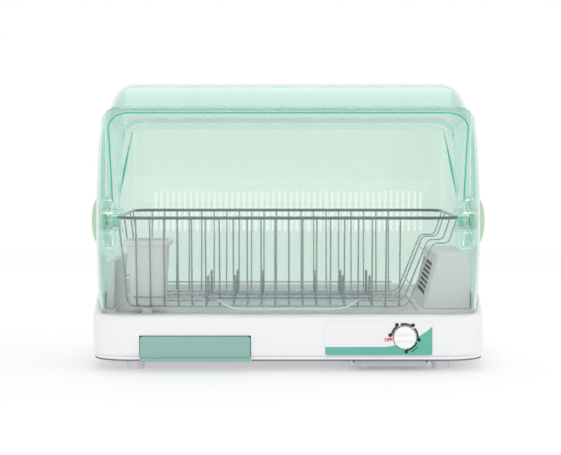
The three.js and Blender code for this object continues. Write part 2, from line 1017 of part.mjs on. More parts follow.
const doorDrum = (inset) =>
  drum(doorRadius - inset, doorHalfWidth - inset, doorHubHalfWidth - inset, doorCorner - inset);
const domeDrum = (inset) =>
  drum(domeRadius - inset, domeHalfWidth - inset, domeHubHalfWidth - inset, domeCorner - inset);

// A point in side view, by its angle up from the front and its distance from the pivot axis
const ray = (angle, radius) => [
  -Math.cos(angle * degree) * radius,
  Math.sin(angle * degree) * radius,
];

const across = (shape) => prism("x", shape, -farSide, farSide);
const hubDisc = (radius) => bar("x", radius, -farSide, farSide, 0, 0, roundSides);

function frontDoor() {
  const reach = farReach;
  const region = new THREE.Shape();
  region.moveTo(-doorRearEdge, 0);
  region.lineTo(-doorRearEdge, sideRimHeight + doorRest - pivotHeight);
  followRim(region, doorRest - pivotHeight);
  region.lineTo(-reach, frontRimHeight + doorRest - pivotHeight);
  region.lineTo(-reach, ray(doorTopAngle, reach)[1]);
  region.lineTo(...ray(doorTopAngle, reach));
  region.lineTo(0, 0);
  const panel = joined([
    prism("x", region, -farSide, farSide, { curveSegments: cornerSteps * 2 }),
    hubDisc(hubRadius),
  ]);
  const shell = doorDrum(0).subtract(doorDrum(doorWall)).intersect(panel);
  const bosses = [-1, 1].map((side) => {
    const ends = [hoodBossReach + runningGap, doorHubHalfWidth - doorWall / 2];
    const [low, high] = side < 0 ? [-ends[1], -ends[0]] : ends;
    return bar("x", bossRadius, low, high, 0, 0, roundSides);
  });
  const bore = hubDisc(capShaftRadius + runningGap);
  return joined([shell, ...bosses, fingerLip()]).subtract(bore);
}

// The finger lip: a thin blade across the door's lower front, straight at its root and curved at its edge
function fingerLip() {
  const shape = new THREE.Shape();
  shape.moveTo(-lipRootHalf, -lipSink);
  shape.lineTo(lipRootHalf, -lipSink);
  shape.lineTo(lipRootHalf, 0);
  shape.bezierCurveTo(
    lipRootHalf - lipCurve / 2,
    lipReach / 2,
    lipTipHalf + lipCurve,
    lipReach,
    lipTipHalf,
    lipReach,
  );
  shape.lineTo(-lipTipHalf, lipReach);
  shape.bezierCurveTo(
    -lipTipHalf - lipCurve,
    lipReach,
    -lipRootHalf + lipCurve / 2,
    lipReach / 2,
    -lipRootHalf,
    0,
  );
  const settings = { depth: lipThickness, bevelEnabled: false, curveSegments: cornerSteps * 2 };
  const geometry = new THREE.ExtrudeGeometry(shape, settings);
  geometry.translate(0, 0, -lipThickness / 2);
  geometry.rotateX(Math.PI + lipAngle * degree);
  const drop = pivotHeight - lipHeight;
  geometry.translate(0, -Math.sqrt(doorRadius ** 2 - drop ** 2), -drop);
  return solid(geometry);
}

function rearHood() {
  const reach = farReach;
  const bottom = sideRimHeight + seatGap - pivotHeight;
  const low = bottom - hoodDrop * 2;
  const [shoulderY, shoulderZ] = ray(shoulderAngle, reach);
  const normal = new THREE.Vector2(shoulderZ, -shoulderY).normalize();
  const behind = (inset, front) =>
    polygon([
      [normal.x * inset, normal.y * inset],
      [front, normal.y * inset],
      [front, low],
      [reach, low],
      [reach, shoulderZ],
      [shoulderY + normal.x * inset, shoulderZ + normal.y * inset],
    ]);
  const plan = (inset) => {
    const shape = new THREE.Shape();
    const side = hoodSideAtBack - hoodBackCorner;
    const turn = hoodBack - hoodBackCorner;
    const radius = hoodBackCorner - inset;
    shape.moveTo(-farSide, -reach);
    shape.lineTo(farSide, -reach);
    shape.lineTo(farSide, turn - hoodBackCorner);
    shape.absarc(side, turn, radius, 0, Math.PI / 2);
    shape.absarc(-side, turn, radius, Math.PI / 2, Math.PI);
    shape.lineTo(-farSide, turn - hoodBackCorner);
    return prism("z", shape, -reach, reach);
  };
  const rear = (inset, front) =>
    doorDrum(inset)
      .intersect(across(behind(inset, front)))
      .intersect(plan(inset))
      .subtract(hubDisc(hubRadius + hubGap + inset));
  const front = across(
    polygon([[0, 0], ray(doorTopAngle, reach), [0, reach], ray(shoulderAngle + stopAngle, reach)]),
  );
  const dome = domeDrum(0).intersect(joined([front, hubDisc(hubRadius)]));
  const flangeNormal = ray(doorTopAngle + 90, hoodWall);
  const flangeTip = ray(doorTopAngle, reach);
  const flangeBand = across(
    polygon([
      [0, 0],
      flangeTip,
      [flangeTip[0] + flangeNormal[0], flangeTip[1] + flangeNormal[1]],
      flangeNormal,
    ]),
  ).subtract(hubDisc(hubRadius + hubGap));
  const flange = doorDrum(doorWall + flangeGap).intersect(flangeBand);
  const bosses = [-1, 1].map((side) => {
    const ends = [domeHubHalfWidth - hoodWall / 2, hoodBossReach];
    const [low, high] = side < 0 ? [-ends[1], -ends[0]] : ends;
    return bar("x", bossRadius, low, high, 0, 0, roundSides);
  });
  const cabin = domeDrum(hoodWall).intersect(plan(hoodWall));
  const pitch = (2 * ventHalfSpan) / (ventCount - 1);
  const vents = range(ventCount).map((i) =>
    box(
      -ventHalfSpan + pitch * i - ventWidth / 2,
      -ventHalfSpan + pitch * i + ventWidth / 2,
      hoodBack - hoodWall - overrun,
      hoodBack + overrun,
      ventBottom - pivotHeight,
      ventTop - pivotHeight,
    ),
  );
  const foot = [
    box(
      -farSide,
      farSide,
      -reach,
      hoodBack - hoodDropDepth,
      -reach,
      bottom,
    ),
    box(-farSide, farSide, -reach, reach, -reach, bottom - hoodDrop),
  ];
  const hollow = [rear(hoodWall, -overrun), cabin];
  const shell = cut(joined([rear(0, hoodFrontEdge), dome, flange]), [...hollow, ...foot, ...vents]);
  return joined([shell, ...bosses]).subtract(hubDisc(capShaftRadius + seatGap));
}

// A pivot cap: a shallow dome outside the door on a hollow shaft that passes through door and hood
function pivotCap(side) {
  const edge = capSeat + capEdge;
  const dome = range(cornerSteps).map((i) => {
    const turn = (i / cornerSteps) * 90 * degree;
    return [capRadius * Math.cos(turn), edge + (capReach - edge) * Math.sin(turn)];
  });
  const profile = [
    [capShaftBore, capShaftEnd],
    [capShaftRadius, capShaftEnd],
    [capShaftRadius, capSeat],
    [capRadius, capSeat],
    ...dome,
    [0, capReach],
    [0, capSeat + capHollow],
    [capShaftBore, capSeat + capHollow],
    [capShaftBore, capShaftEnd],
  ];
  return turned("x", profile.map(([r, x]) => [r, side * x]), 0, 0);
}

// The clip that holds the cap's shaft inside the hood: two rounded lugs on a bar
function pivotClip(side) {
  const face = domeHubHalfWidth - hoodWall - seatGap;
  const span = (a, b) => (side < 0 ? [-b, -a] : [a, b]);
  const [lugLow, lugHigh] = span(clipEnd, face);
  const [barLow, barHigh] = span(capShaftEnd - seatGap - clipBarThickness, capShaftEnd - seatGap);
  const lugs = [-1, 1].map((end) =>
    bar("x", clipLugRadius, lugLow, lugHigh, 0, end * clipLugSpread, smallSides),
  );
  const strap = box(
    barLow,
    barHigh,
    -clipBarWidth / 2,
    clipBarWidth / 2,
    -clipLugSpread,
    clipLugSpread,
  );
  return joined([...lugs, strap]);
}

// The basket's rim: two halves that meet on the middle plane
function basketRim() {
  const middle = (rimRight - rimLeft) / 2;
  const half = (edge) =>
    wireAlong(
      rounded(
        [
          [middle, -rimFront, rimHeight],
          [edge, -rimFront, rimHeight],
          [edge, rimBack, rimHeight],
          [middle, rimBack, rimHeight],
        ],
        rimCorner,
        cornerSteps,
      ),
      rimWire,
      rimSides,
    );
  const seam = (y) =>
    straightWire([middle - rimWire, y, rimHeight], [middle + rimWire, y, rimHeight], rimWire - weld);
  return joined([half(rimRight), half(-rimLeft), seam(-rimFront), seam(rimBack)]);
}

const sideWirePlaces = [-sideWireFirst, -sideWireSecond, sideWireThird, sideWireLast];
const wirePlaces = range(wireCount).map((i) => -wireFirst + wirePitch * i);
const wireTop = rimHeight - rimWire / 2 - seatGap;

// The upright wires of the basket's front or back, tied by one wire behind their heels
function basketEnd(direction, rim, floor) {
  const heel = floor + heelReach;
  const uprights = wirePlaces.map((x) =>
    wireAlong(
      rounded(
        [
          [x, direction * rim, wireTop],
          [x, direction * heel, floorWireHeight],
          [x, direction * floor, floorWireHeight],
        ],
        wireBend,
      ),
      wire,
    ),
  );
  const tieHeight = floorWireHeight + endTieRise;
  const leanShare = endTieRise / (wireTop - floorWireHeight);
  const tieAt = direction * (heel + (rim - heel) * leanShare - wire + weld);
  const tie = straightWire(
    [-wireFirst - tieReach, tieAt, tieHeight],
    [wireLast + tieReach, tieAt, tieHeight],
    wire,
  );
  return joined([...uprights, tie]);
}

function basketLeft() {
  const sides = sideWirePlaces.map((y) =>
    wireAlong(
      rounded(
        [
          [-rimLeft, y, wireTop],
          [-leftWaist, y, leftWaistHeight],
          [-leftHeel, y, heelHeight],
          [-floorLeft, y, bottomWireHeight],
          [-wireFirst - wire, y, bottomWireHeight],
        ],
        wireBend,
      ),
      wire,
    ),
  );
  const tieX = -leftWaist + wire - weld;
  const tie = straightWire(
    [tieX, sideWirePlaces[0] - tieReach, leftWaistHeight],
    [tieX, sideWirePlaces[sideWirePlaces.length - 1] + tieReach, leftWaistHeight],
    wire,
  );
  return joined([...sides, tie]);
}

// The right side steps in over the air tower and slants down beside its outlet
function basketRight() {
  const sides = sideWirePlaces.map((y) =>
    wireAlong(
      rounded(
        [
          [rimRight, y, wireTop],
          [stepTop, y, stepHeight],
          [stepInner, y, stepHeight],
          [rightHeel, y, heelHeight],
          [floorRight, y, bottomWireHeight],
          [wireLast + wire, y, bottomWireHeight],
        ],
        wireBend,
      ),
      wire,
    ),
  );
  const ties = [stepHeight - upperTieDrop, heelHeight + lowerTieRise].map((z) => {
    const share = (z - heelHeight) / (stepHeight - heelHeight);
    const x = rightHeel + (stepInner - rightHeel) * share - wire + weld;
    return straightWire(
      [x, sideWirePlaces[0] - tieReach, z],
      [x, sideWirePlaces[sideWirePlaces.length - 1] + tieReach, z],
      wire,
    );
  });
  return joined([...sides, ...ties]);
}

function basketFloor() {
  const long = wirePlaces.map((x) =>
    straightWire(
      [x, -floorFront + seatGap, floorWireHeight],
      [x, floorBack - seatGap, floorWireHeight],
      wire,
    ),
  );
  const crossing = sideWirePlaces.map((y) =>
    straightWire(
      [-wireFirst - wire + seatGap, y, bottomWireHeight],
      [wireLast + wire - seatGap, y, bottomWireHeight],
      wire,
    ),
  );
  return joined([...long, ...crossing]);
}

// A row of hoops that keeps plates apart, standing on the floor wires
function plateRack(y) {
  const foot = floorWireHeight + wire / 2 + seatGap + rackWire / 2;
  const places = range(rackHoops).map((i) => wirePlaces[rackFirstWire + rackWireStep * i]);
  const hoops = places.map((x) =>
    wireAlong(
      rounded(
        [
          [x, y - rackHalf, foot],
          [x, y - rackHalf, rackTop],
          [x, y + rackHalf, rackTop],
          [x, y + rackHalf, foot],
        ],
        rackBend,
      ),
      rackWire,
    ),
  );
  const rails = [-rackHalf, rackHalf].map((offset) =>
    straightWire(
      [places[0] - tieReach, y + offset, foot],
      [places[places.length - 1] + tieReach, y + offset, foot],
      rackWire,
    ),
  );
  return joined([...hoops, ...rails]);
}

// A straight-sided cup that narrows downwards, drawn by its top and bottom outlines
function taperedCup(left, right, front, back, bottom, top, inset, taper) {
  const width = right - left - 2 * inset;
  const depth = back - front - 2 * inset;
  const shape = roundedRect(
    -width / 2,
    width / 2,
    -depth / 2,
    depth / 2,
    holderCorner - inset * halfShare,
  );
  const geometry = prismGeometry("z", shape, 0, top - bottom);
  const position = geometry.attributes.position;
  for (let i = 0; i < position.count; i++) {
    const share = position.getZ(i) / (top - bottom);
    const shrinkX = (width - 2 * taper * (1 - share)) / width;
    const shrinkY = (depth - 2 * taper * (1 - share)) / depth;
    position.setX(i, position.getX(i) * shrinkX);
    position.setY(i, position.getY(i) * shrinkY);
  }
  geometry.translate((left + right) / 2, (front + back) / 2, bottom);
  return solid(geometry);
}

function cutleryHolder() {
  const bottom = floorWireHeight + wire / 2 + seatGap;
  const left = -holderLeft + holderRimReach;
  const right = -holderRight - holderRimReach;
  const front = -holderFront + holderRimReach;
  const back = -holderBack - holderRimReach;
  const cup = taperedCup(left, right, front, back, bottom, holderTop, 0, holderTaper);
  const rim = prism(
    "z",
    roundedRect(-holderLeft, -holderRight, -holderFront, -holderBack, holderCorner),
    holderTop - holderRimDrop,
    holderTop,
  );
  const hollow = taperedCup(
    left,
    right,
    front,
    back,
    bottom + holderWall,
    holderTop + overrun,
    holderWall,
    holderTaper,
  );
  const pitch = (right - left) / (holderSlots + 1);
  const slots = range(holderSlots).map((i) => {
    const x = left + pitch * (i + 1);
    return box(
      x - holderSlotWidth / 2,
      x + holderSlotWidth / 2,
      front + holderTaper + holderSlotInset,
      back - holderTaper - holderSlotInset,
      bottom - overrun,
      bottom + overrun,
    );
  });
  return cut(joined([cup, rim]), [hollow, ...slots]);
}

function controlPlate() {
  const shape = roundedRect(
    controlPlateLeft,
    controlPlateRight,
    controlPlateBottom,
    controlPlateTop,
    controlPlateCorner,
  );
  const face = -controlPlateFace;
  const plate = prism("y", shape, face, face + controlPlateThickness);
  return plate.subtract(
    bar("y", timerHole, face - overrun, face + overrun, knobAcross, knobHeight),
  );
}

// The knob: a fluted skirt with a grip bar across its whole width
function timerKnob() {
  const flutes = range(knobFlutes * 2).map((i) => {
    const turn = (Math.PI * i) / knobFlutes;
    const radius = i % 2 ? knobRadius - knobFluteDepth : knobRadius;
    return [knobAcross + radius * Math.cos(turn), knobHeight + radius * Math.sin(turn)];
  });
  const skirt = prism("y", polygon(flutes), -knobBack - knobSkirt, -knobBack);
  const grip = prism(
    "y",
    roundedRect(
      knobAcross - knobRadius + knobFluteDepth,
      knobAcross + knobRadius - knobFluteDepth,
      knobHeight - knobGripWidth / 2,
      knobHeight + knobGripWidth / 2,
      knobGripWidth / 3,
    ),
    -knobBack - knobReach,
    -knobBack - knobSkirt / 2,
  );
  const hole = bar(
    "y",
    timerShaftRadius + seatGap,
    -knobBack - timerShaftIn - seatGap,
    -knobBack + overrun,
    knobAcross,
    knobHeight,
  );
  return joined([skirt, grip]).subtract(hole);
}

const timerShaft = () =>
  bar(
    "y",
    timerShaftRadius,
    -knobBack - timerShaftIn,
    -timerFace + timerDepth / 2,
    knobAcross,
    knobHeight,
  );

function timerBody() {
  const half = timerWidth / 2;
  const body = prism(
    "y",
    roundedRect(
      knobAcross - half,
      knobAcross + half,
      knobHeight - half,
      knobHeight + half,
      timerShaftRadius,
    ),
    -timerFace,
    -timerFace + timerDepth,
  );
  const bore = bar(
    "y",
    timerShaftRadius + runningGap,
    -timerFace - overrun,
    -timerFace + timerDepth / 2 + seatGap,
    knobAcross,
    knobHeight,
  );
  return body.subtract(bore);
}

// The blower's scroll in plan: a spiral that grows towards its outlet, which runs straight to the duct
function scrollOutline(inset, past) {
  const steps = drumSides / 3;
  const spiral = range(steps + 1).map((i) => {
    const share = i / steps;
    const turn = (90 + 270 * share) * degree;
    const radius = scrollEnd - (scrollEnd - scrollStart) * share - inset;
    return [fanAcross + radius * Math.cos(turn), -fanFront + radius * Math.sin(turn)];
  });
  const end = ductLeft - seatGap + past;
  return polygon([
    ...spiral,
    [end, -fanFront + inset],
    [end, -fanFront + scrollEnd - inset],
  ]);
}

function blowerHousing() {
  const top = housingBottom + scrollHeight;
  const block = prism("z", scrollOutline(0, 0), housingBottom, top);
  const hollow = prism("z", scrollOutline(scrollWall, overrun), housingBottom + scrollWall, top + overrun);
  const inlet = bar("z", inletRadius, housingBottom - overrun, top, fanAcross, -fanFront, roundSides);
  return cut(block, [hollow, inlet]);
}

function blowerCover() {
  const plate = prism("z", scrollOutline(0, 0), coverBottom, coverTop);
  const hole = motorCollarRadius + seatGap;
  return plate.subtract(bar("z", hole, coverBottom - overrun, coverTop + overrun, fanAcross, -fanFront));
}

// The fan wheel: blades between a ring and a back plate, on a hub whose shaft runs up into the motor
function impeller() {
  const low = housingBottom + scrollWall + fanClearance;
  const high = housingBottom + scrollHeight - fanClearance;
  const bladeRadius = fanRadius - fanBladeDepth / 2;
  const blades = range(fanBlades).map((i) => {
    const turn = (360 * degree * i) / fanBlades;
    const geometry = new THREE.BoxGeometry(
      fanBladeDepth - fanBladeThickness,
      fanBladeThickness,
      high - low - fanRing,
    );
    geometry.rotateZ(fanBladeLean * degree).translate(bladeRadius, 0, (low + high) / 2);
    return solid(geometry.rotateZ(turn).translate(fanAcross, -fanFront, 0));
  });
  const round = (radius, z0, z1, sides) => bar("z", radius, z0, z1, fanAcross, -fanFront, sides);
  const ring = round(fanRadius, low, low + fanRing, roundSides).subtract(
    round(fanRadius - fanBladeDepth, low - overrun, low + overrun, roundSides),
  );
  const plate = round(fanRadius, high - fanRing, high, roundSides);
  const hub = round(fanHubRadius, (low + high) / 2, high, smallSides);
  const shaft = round(fanShaftRadius, high - fanRing, coverTop + motorHeight / 2, smallSides);
  return joined([ring, plate, hub, shaft, ...blades]);
}

function fanMotor() {
  const bottom = coverTop + seatGap;
  const body = bar("z", motorRadius, bottom, bottom + motorHeight, fanAcross, -fanFront, roundSides);
  const collar = bar("z", motorCollarRadius, coverBottom, bottom + seatGap, fanAcross, -fanFront);
  const bore = bar(
    "z",
    fanShaftRadius + runningGap,
    coverBottom - overrun,
    coverTop + motorHeight / 2 + runningGap,
    fanAcross,
    -fanFront,
  );
  return joined([body, collar]).subtract(bore);
}

// The duct that leads the air from the blower up into the tower
function airDuct() {
  const top = panTop - panThickness - seatGap;
  const block = box(ductLeft, ductRight, -ductFront, ductBack, housingBottom, top);
  const hollow = box(
    ductLeft + ductWall,
    ductRight - ductWall,
    -ductFront + ductWall,
    ductBack - ductWall,
    housingBottom + ductWall,
    top + overrun,
  );
  const inlet = box(
    ductLeft - overrun,
    ductLeft + ductWall + overrun,
    -fanFront + scrollWall,
    -fanFront + scrollEnd - scrollWall,
    housingBottom + scrollWall,
    housingBottom + scrollHeight,
  );
  return cut(block, [hollow, inlet]);
}

function heaterCoil() {
  const corners = range(heaterRuns).flatMap((i) => {
    const z = heaterLow + heaterPitch * i;
    const ends = [-heaterFront, heaterBack];
    const [start, end] = i % 2 ? [ends[1], ends[0]] : ends;
    return [
      [heaterAcross, start, z],
      [heaterAcross, end, z],
    ];
  });
  return wireAlong(rounded(corners, heaterPitch / 2, cornerSteps), heaterTube, rimSides);
}

function heaterFrame() {
  const floor = towerBottom;
  const strip = box(
    heaterAcross - heaterFrameFoot / 2,
    heaterAcross + heaterFrameFoot / 2,
    -towerFront + towerWall + seatGap,
    towerBack - towerWall - seatGap,
    floor,
    floor + heaterFrameSheet,
  );
  const plates = [-heaterFront + heaterPitch, heaterBack - heaterPitch].map((y) =>
    box(
      heaterAcross - heaterFrameWidth / 2,
      heaterAcross + heaterFrameWidth / 2,
      y - heaterFrameSheet / 2,
      y + heaterFrameSheet / 2,
      floor,
      heaterLow + heaterPitch * (heaterRuns - halfShare),
    ),
  );
  const holes = range(heaterRuns).map((i) =>
    bar(
      "y",
      heaterTube / 2 + runningGap,
      -heaterFront,
      heaterBack,
      heaterAcross,
      heaterLow + heaterPitch * i,
      rimSides,
    ),
  );
  return cut(joined([strip, ...plates]), holes);
}

function thermalCutout() {
  const bottom = towerBottom + heaterFrameSheet + seatGap;
  const y = towerBack - towerWall - cutoutRadius - runningGap;
  const can = bar("z", cutoutRadius, bottom, bottom + cutoutHeight, heaterAcross, y);
  const cap = bar(
    "z",
    cutoutRadius / 2,
    bottom,
    bottom + cutoutHeight + heaterFrameSheet,
    heaterAcross,
    y,
  );
  return can.add(cap);
}

function terminalBlock() {
  const low = housingBottom;
  const block = box(
    terminalAcross - terminalLength / 2,
    terminalAcross + terminalLength / 2,
    terminalBack - terminalWidth / 2,
    terminalBack + terminalWidth / 2,
    low,
    low + terminalHeight,
  );
  const pitch = terminalLength / terminalPoles;
  const wells = range(terminalPoles).map((i) => {
    const x = terminalAcross - terminalLength / 2 + pitch * (i + halfShare);
    return box(
      x - pitch / 3,
      x + pitch / 3,
      terminalBack - terminalWidth,
      terminalBack + terminalWidth,
      low + terminalHeight / 2,
      low + terminalHeight + overrun,
    );
  });
  return cut(block, wells);
}

function cordGland() {
  const inner = baseBack - baseWall - seatGap;
  const outer = baseBack + seatGap;
  const profile = [
    [glandBore, inner - glandFlangeThickness],
    [glandFlange, inner - glandFlangeThickness],
    [glandFlange, inner],
    [glandRadius, inner],
    [glandRadius, outer],
    [glandFlange, outer],
    [glandFlange, outer + glandFlangeThickness],
    [glandBore, outer + glandFlangeThickness],
    [glandBore, inner - glandFlangeThickness],
  ];
  return turned("y", profile, glandAcross, glandHeight, smallSides);
}

// The filter cover slides forward on tongues that run in the bottom plate's rails
function filterCover() {
  const front = -filterFront;
  const back = front + filterDepth;
  const body = box(filterLeft, filterRight, front, back, filterBottom, filterTop);
  const hollow = box(
    filterLeft + filterWall,
    filterRight - filterWall,
    front + filterWall,
    back - filterWall,
    filterBottom + filterWall,
    filterTop + overrun,
  );
  const tongues = box(
    filterLeft - tongueReach,
    filterRight + tongueReach,
    front,
    back,
    tongueBottom,
    tongueBottom + tongueThickness,
  );
  const pitch = (filterRight - filterLeft) / (filterSlots + 1);
  const slots = range(filterSlots).map((i) =>
    box(
      filterLeft + pitch * (i + 1) - filterSlotWidth / 2,
      filterLeft + pitch * (i + 1) + filterSlotWidth / 2,
      front + filterSlotInset,
      back - filterSlotInset,
      filterBottom - overrun,
      filterBottom + overrun,
    ),
  );
  const nub = box(
    filterLeft + filterNubInset,
    filterLeft + filterNubInset + filterNubWidth,
    front,
    front + filterNubDepth,
    filterBottom - filterNubDrop,
    filterBottom + filterWall / 2,
  );
  return cut(joined([body, tongues, nub]), [hollow, ...slots]);
}

function filterMesh() {
  const left = filterLeft + filterWall + seatGap;
  const right = filterRight - filterWall - seatGap;
  const front = -filterFront + filterWall + seatGap;
  const back = -filterFront + filterDepth - filterWall - seatGap;
  const low = filterBottom + filterWall + seatGap;
  const plate = box(left, right, front, back, low, low + meshThickness);
  const stepX = (right - left - meshBar) / meshColumns;
  const stepY = (back - front - meshBar) / meshRows;
  const gaps = range(meshColumns).flatMap((i) =>
    range(meshRows).map((j) =>
      box(
        left + meshBar + stepX * i,
        left + stepX * (i + 1),
        front + meshBar + stepY * j,
        front + stepY * (j + 1),
        low - overrun,
        low + overrun,
      ),
    ),
  );
  return plate.subtract(joined(gaps));
}

// Assembly: one group for what stands still and one for each piece that moves
const root = new THREE.Group();
const base = new THREE.Group();
const pivot = new THREE.Group();
const door = new THREE.Group();
const basket = new THREE.Group();
pivot.position.z = pivotHeight;

base.add(
  piece("base_housing", baseHousing(), whitePlastic),
  piece("bottom_plate", bottomPlate(), whitePlastic),
  piece("drain_pan", drainPan(), greyPlastic),
  piece("drain_spout", drainSpout(), greyPlastic),
  piece("left_guard", leftGuard(), whitePlastic),
  piece("air_tower", airTower(), whitePlastic),
  piece("outlet_grille", outletGrille(), whitePlastic),
  piece("control_plate", controlPlate(), whitePlastic),
  piece("timer_body", timerBody(), blackPlastic),
  piece("blower_housing", blowerHousing(), blackPlastic),
  piece("blower_cover", blowerCover(), blackPlastic),
  piece("fan_motor", fanMotor(), steel),
  piece("air_duct", airDuct(), steel),
  piece("heater_coil", heaterCoil(), steel),
  piece("heater_frame", heaterFrame(), steel),
  piece("thermal_cutout", thermalCutout(), blackPlastic),
  piece("terminal_block", terminalBlock(), blackPlastic),
  piece("cord_gland", cordGland(), blackPlastic),
);
Object.entries(footPlaces).forEach(([name, [x, y]]) => base.add(piece(name, foot(x, y), rubber)));
screwPlaces.forEach(([x, y], i) => base.add(piece("base_screw_" + (i + 1), baseScrew(x, y), steel)));

pivot.add(
  piece("rear_hood", rearHood(), clearGreen),
  piece("pivot_cap_left", pivotCap(-1), paleGreen),
  piece("pivot_cap_right", pivotCap(1), paleGreen),
  piece("pivot_clip_left", pivotClip(-1), paleGreen),
  piece("pivot_clip_right", pivotClip(1), paleGreen),
);
door.add(piece("front_door", frontDoor(), clearGreen));
pivot.add(door);

basket.add(
  piece("basket_rim", basketRim(), chrome),
  piece("basket_front_wires", basketEnd(-1, rimFront, floorFront), chrome),
  piece("basket_back_wires", basketEnd(1, rimBack, floorBack), chrome),
  piece("basket_left_wires", basketLeft(), chrome),
  piece("basket_right_wires", basketRight(), chrome),
  piece("basket_floor_grid", basketFloor(), chrome),
  piece("plate_rack_front", plateRack(-rackApart / 2), chrome),
  piece("plate_rack_back", plateRack(rackApart / 2), chrome),
  piece("cutlery_holder", cutleryHolder(), holderWhite),
);

root.add(
  base,
  pivot,
  basket,
  piece("drip_tray", dripTray(), trayGreen),
  piece("filter_cover", filterCover(), whitePlastic),
  piece("filter_mesh", filterMesh(), filterGrey),
  piece("timer_knob", timerKnob(), whitePlastic),
  piece("timer_shaft", timerShaft(), steel),
  piece("impeller", impeller(), blackPlastic),
);
root.children.forEach((child) => child.translateY((frontReach - backReach) / 2));

export default root;
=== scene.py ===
# %% [markdown]
# # A covered dish dryer
# The machine has a white base, a wire basket, a clear green hood and a clear green door that turns on two side pivots.
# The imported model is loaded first. It is never moved: every new piece is made in its frame and rides on its bodies.

# %% Load the frame
import bpy
import json
import math
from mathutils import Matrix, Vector


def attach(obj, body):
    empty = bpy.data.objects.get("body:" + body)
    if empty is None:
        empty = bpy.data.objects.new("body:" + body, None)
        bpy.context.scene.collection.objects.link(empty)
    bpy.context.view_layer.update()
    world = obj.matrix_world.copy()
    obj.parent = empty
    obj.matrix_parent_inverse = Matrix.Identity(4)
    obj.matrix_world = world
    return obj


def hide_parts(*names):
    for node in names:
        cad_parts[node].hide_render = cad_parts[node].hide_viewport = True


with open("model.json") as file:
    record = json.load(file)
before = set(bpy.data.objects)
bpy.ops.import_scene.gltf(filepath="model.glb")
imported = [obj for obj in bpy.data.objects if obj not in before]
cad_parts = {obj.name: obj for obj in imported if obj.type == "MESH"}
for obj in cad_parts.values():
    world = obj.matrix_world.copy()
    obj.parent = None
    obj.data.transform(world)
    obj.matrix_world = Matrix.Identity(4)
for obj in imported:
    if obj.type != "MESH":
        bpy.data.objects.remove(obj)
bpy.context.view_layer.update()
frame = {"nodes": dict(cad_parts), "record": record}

# %% [markdown]
# The machine was drawn in millimetres from the door's pivot axis, with heights from the table.
# Blender works in metres, so one helper turns such a place into the frame.

# %% Places
MM = 0.001
PIVOT_BACK = 19.15
PIVOT_HEIGHT = 199.0


def at(x, y, z):
    """A place given in millimetres: across, behind the pivot axis, and above the table."""
    return Vector((x, y + PIVOT_BACK, z)) * MM


SIDES = ((-1, "left"), (1, "right"))
print("pivot axis at", at(0, 0, PIVOT_HEIGHT))

# %% [markdown]
# The photograph was taken from straight in front, a little above the door's pivot, from about two and a half metres.
# A long lens keeps the sides nearly parallel. The small shift puts the machine right of the middle, as in the picture.

# %% Camera
EYE_DISTANCE = 2.42585
EYE_HEIGHT = 0.312
EYE_DIP = 2.885
eye = bpy.data.cameras.new("eye")
eye.lens = 105.05
eye.sensor_width = 36
eye.shift_x = -0.0137
camera = bpy.data.objects.new("camera", eye)
bpy.context.scene.collection.objects.link(camera)
camera.location = (0, -EYE_DISTANCE, EYE_HEIGHT)
camera.rotation_euler = (math.radians(90 - EYE_DIP), 0, 0)
bpy.context.scene.camera = camera
bpy.context.scene.view_settings.view_transform = "Standard"
print("camera at", tuple(camera.location))

# %% [markdown]
# The room is plain. The world is white where the camera, a reflection or clear plastic looks at it, and dimmer as a
# light, so that the white base doesn't clip. Three large lamps light it softly from the front, the right and above.
# The world and every material is a small net of shader nodes, so the helpers that build such a net come first.


# %% Shader nodes
def fill_inputs(net, node, inputs):
    """Fills a node's inputs. What is given as a socket is linked, and anything else is a value."""
    for socket, value in inputs.items():
        if isinstance(value, bpy.types.NodeSocket):
            net.links.new(value, node.inputs[socket])
        else:
            node.inputs[socket].default_value = value


def add_node(net, kind, inputs, **settings):
    """A shader node with its settings and its inputs."""
    node = net.nodes.new(f"ShaderNode{kind}")
    for setting, value in settings.items():
        setattr(node, setting, value)
    fill_inputs(net, node, inputs)
    return node


def calculate(net, operation, *inputs):
    """The result of a Math node."""
    return add_node(net, "Math", dict(enumerate(inputs)), operation=operation).outputs[0]


# %% World
WORLD_LIGHT = 0.76
world = bpy.data.worlds.new("pale room")
bpy.context.scene.world = world
world.use_nodes = True
net = world.node_tree
rays = add_node(net, "LightPath", {}).outputs
seen = calculate(net, "MAXIMUM", rays["Is Camera Ray"], rays["Is Transmission Ray"])
seen = calculate(net, "MAXIMUM", seen, rays["Is Glossy Ray"])
level = add_node(net, "MapRange", {"Value": seen, "To Min": WORLD_LIGHT, "To Max": 1.0})
fill_inputs(net, net.nodes["Background"], {"Color": (1, 1, 1, 1), "Strength": level.outputs["Result"]})
print("world nodes", len(net.nodes))


# %% Lamps
LAMP_AIM = Vector((0, 0, 0.15))


def lamp(name, place, size, power):
    """A soft square lamp that looks at the machine. Clear plastic doesn't mirror it, only the white room."""
    light = bpy.data.lights.new(name, "AREA")
    light.shape = "SQUARE"
    light.size = size
    light.energy = power
    holder = bpy.data.objects.new(name, light)
    bpy.context.scene.collection.objects.link(holder)
    holder.location = place
    holder.rotation_euler = (LAMP_AIM - Vector(place)).to_track_quat("-Z", "Y").to_euler()
    holder.visible_glossy = False
    return holder


lamps = [
    lamp("front lamp", (-0.5, -2.4, 0.9), 1.8, 11.5),
    lamp("right lamp", (1.9, -0.6, 1.3), 1.4, 5),
    lamp("top lamp", (0, 1.3, 2.0), 1.8, 12),
]
print("lamps", [holder.name for holder in lamps])

# %% [markdown]
# ## Shaping helpers
# Blender's edit-mode operators act on everything that is selected, so each helper first deselects the rest.
# An outline is drawn the way a hand would: one point is extruded from place to place, then filled or swept.


# %% Selecting
def leave():
    """Goes back to object mode."""
    if bpy.context.mode != "OBJECT":
        bpy.ops.object.mode_set(mode="OBJECT")


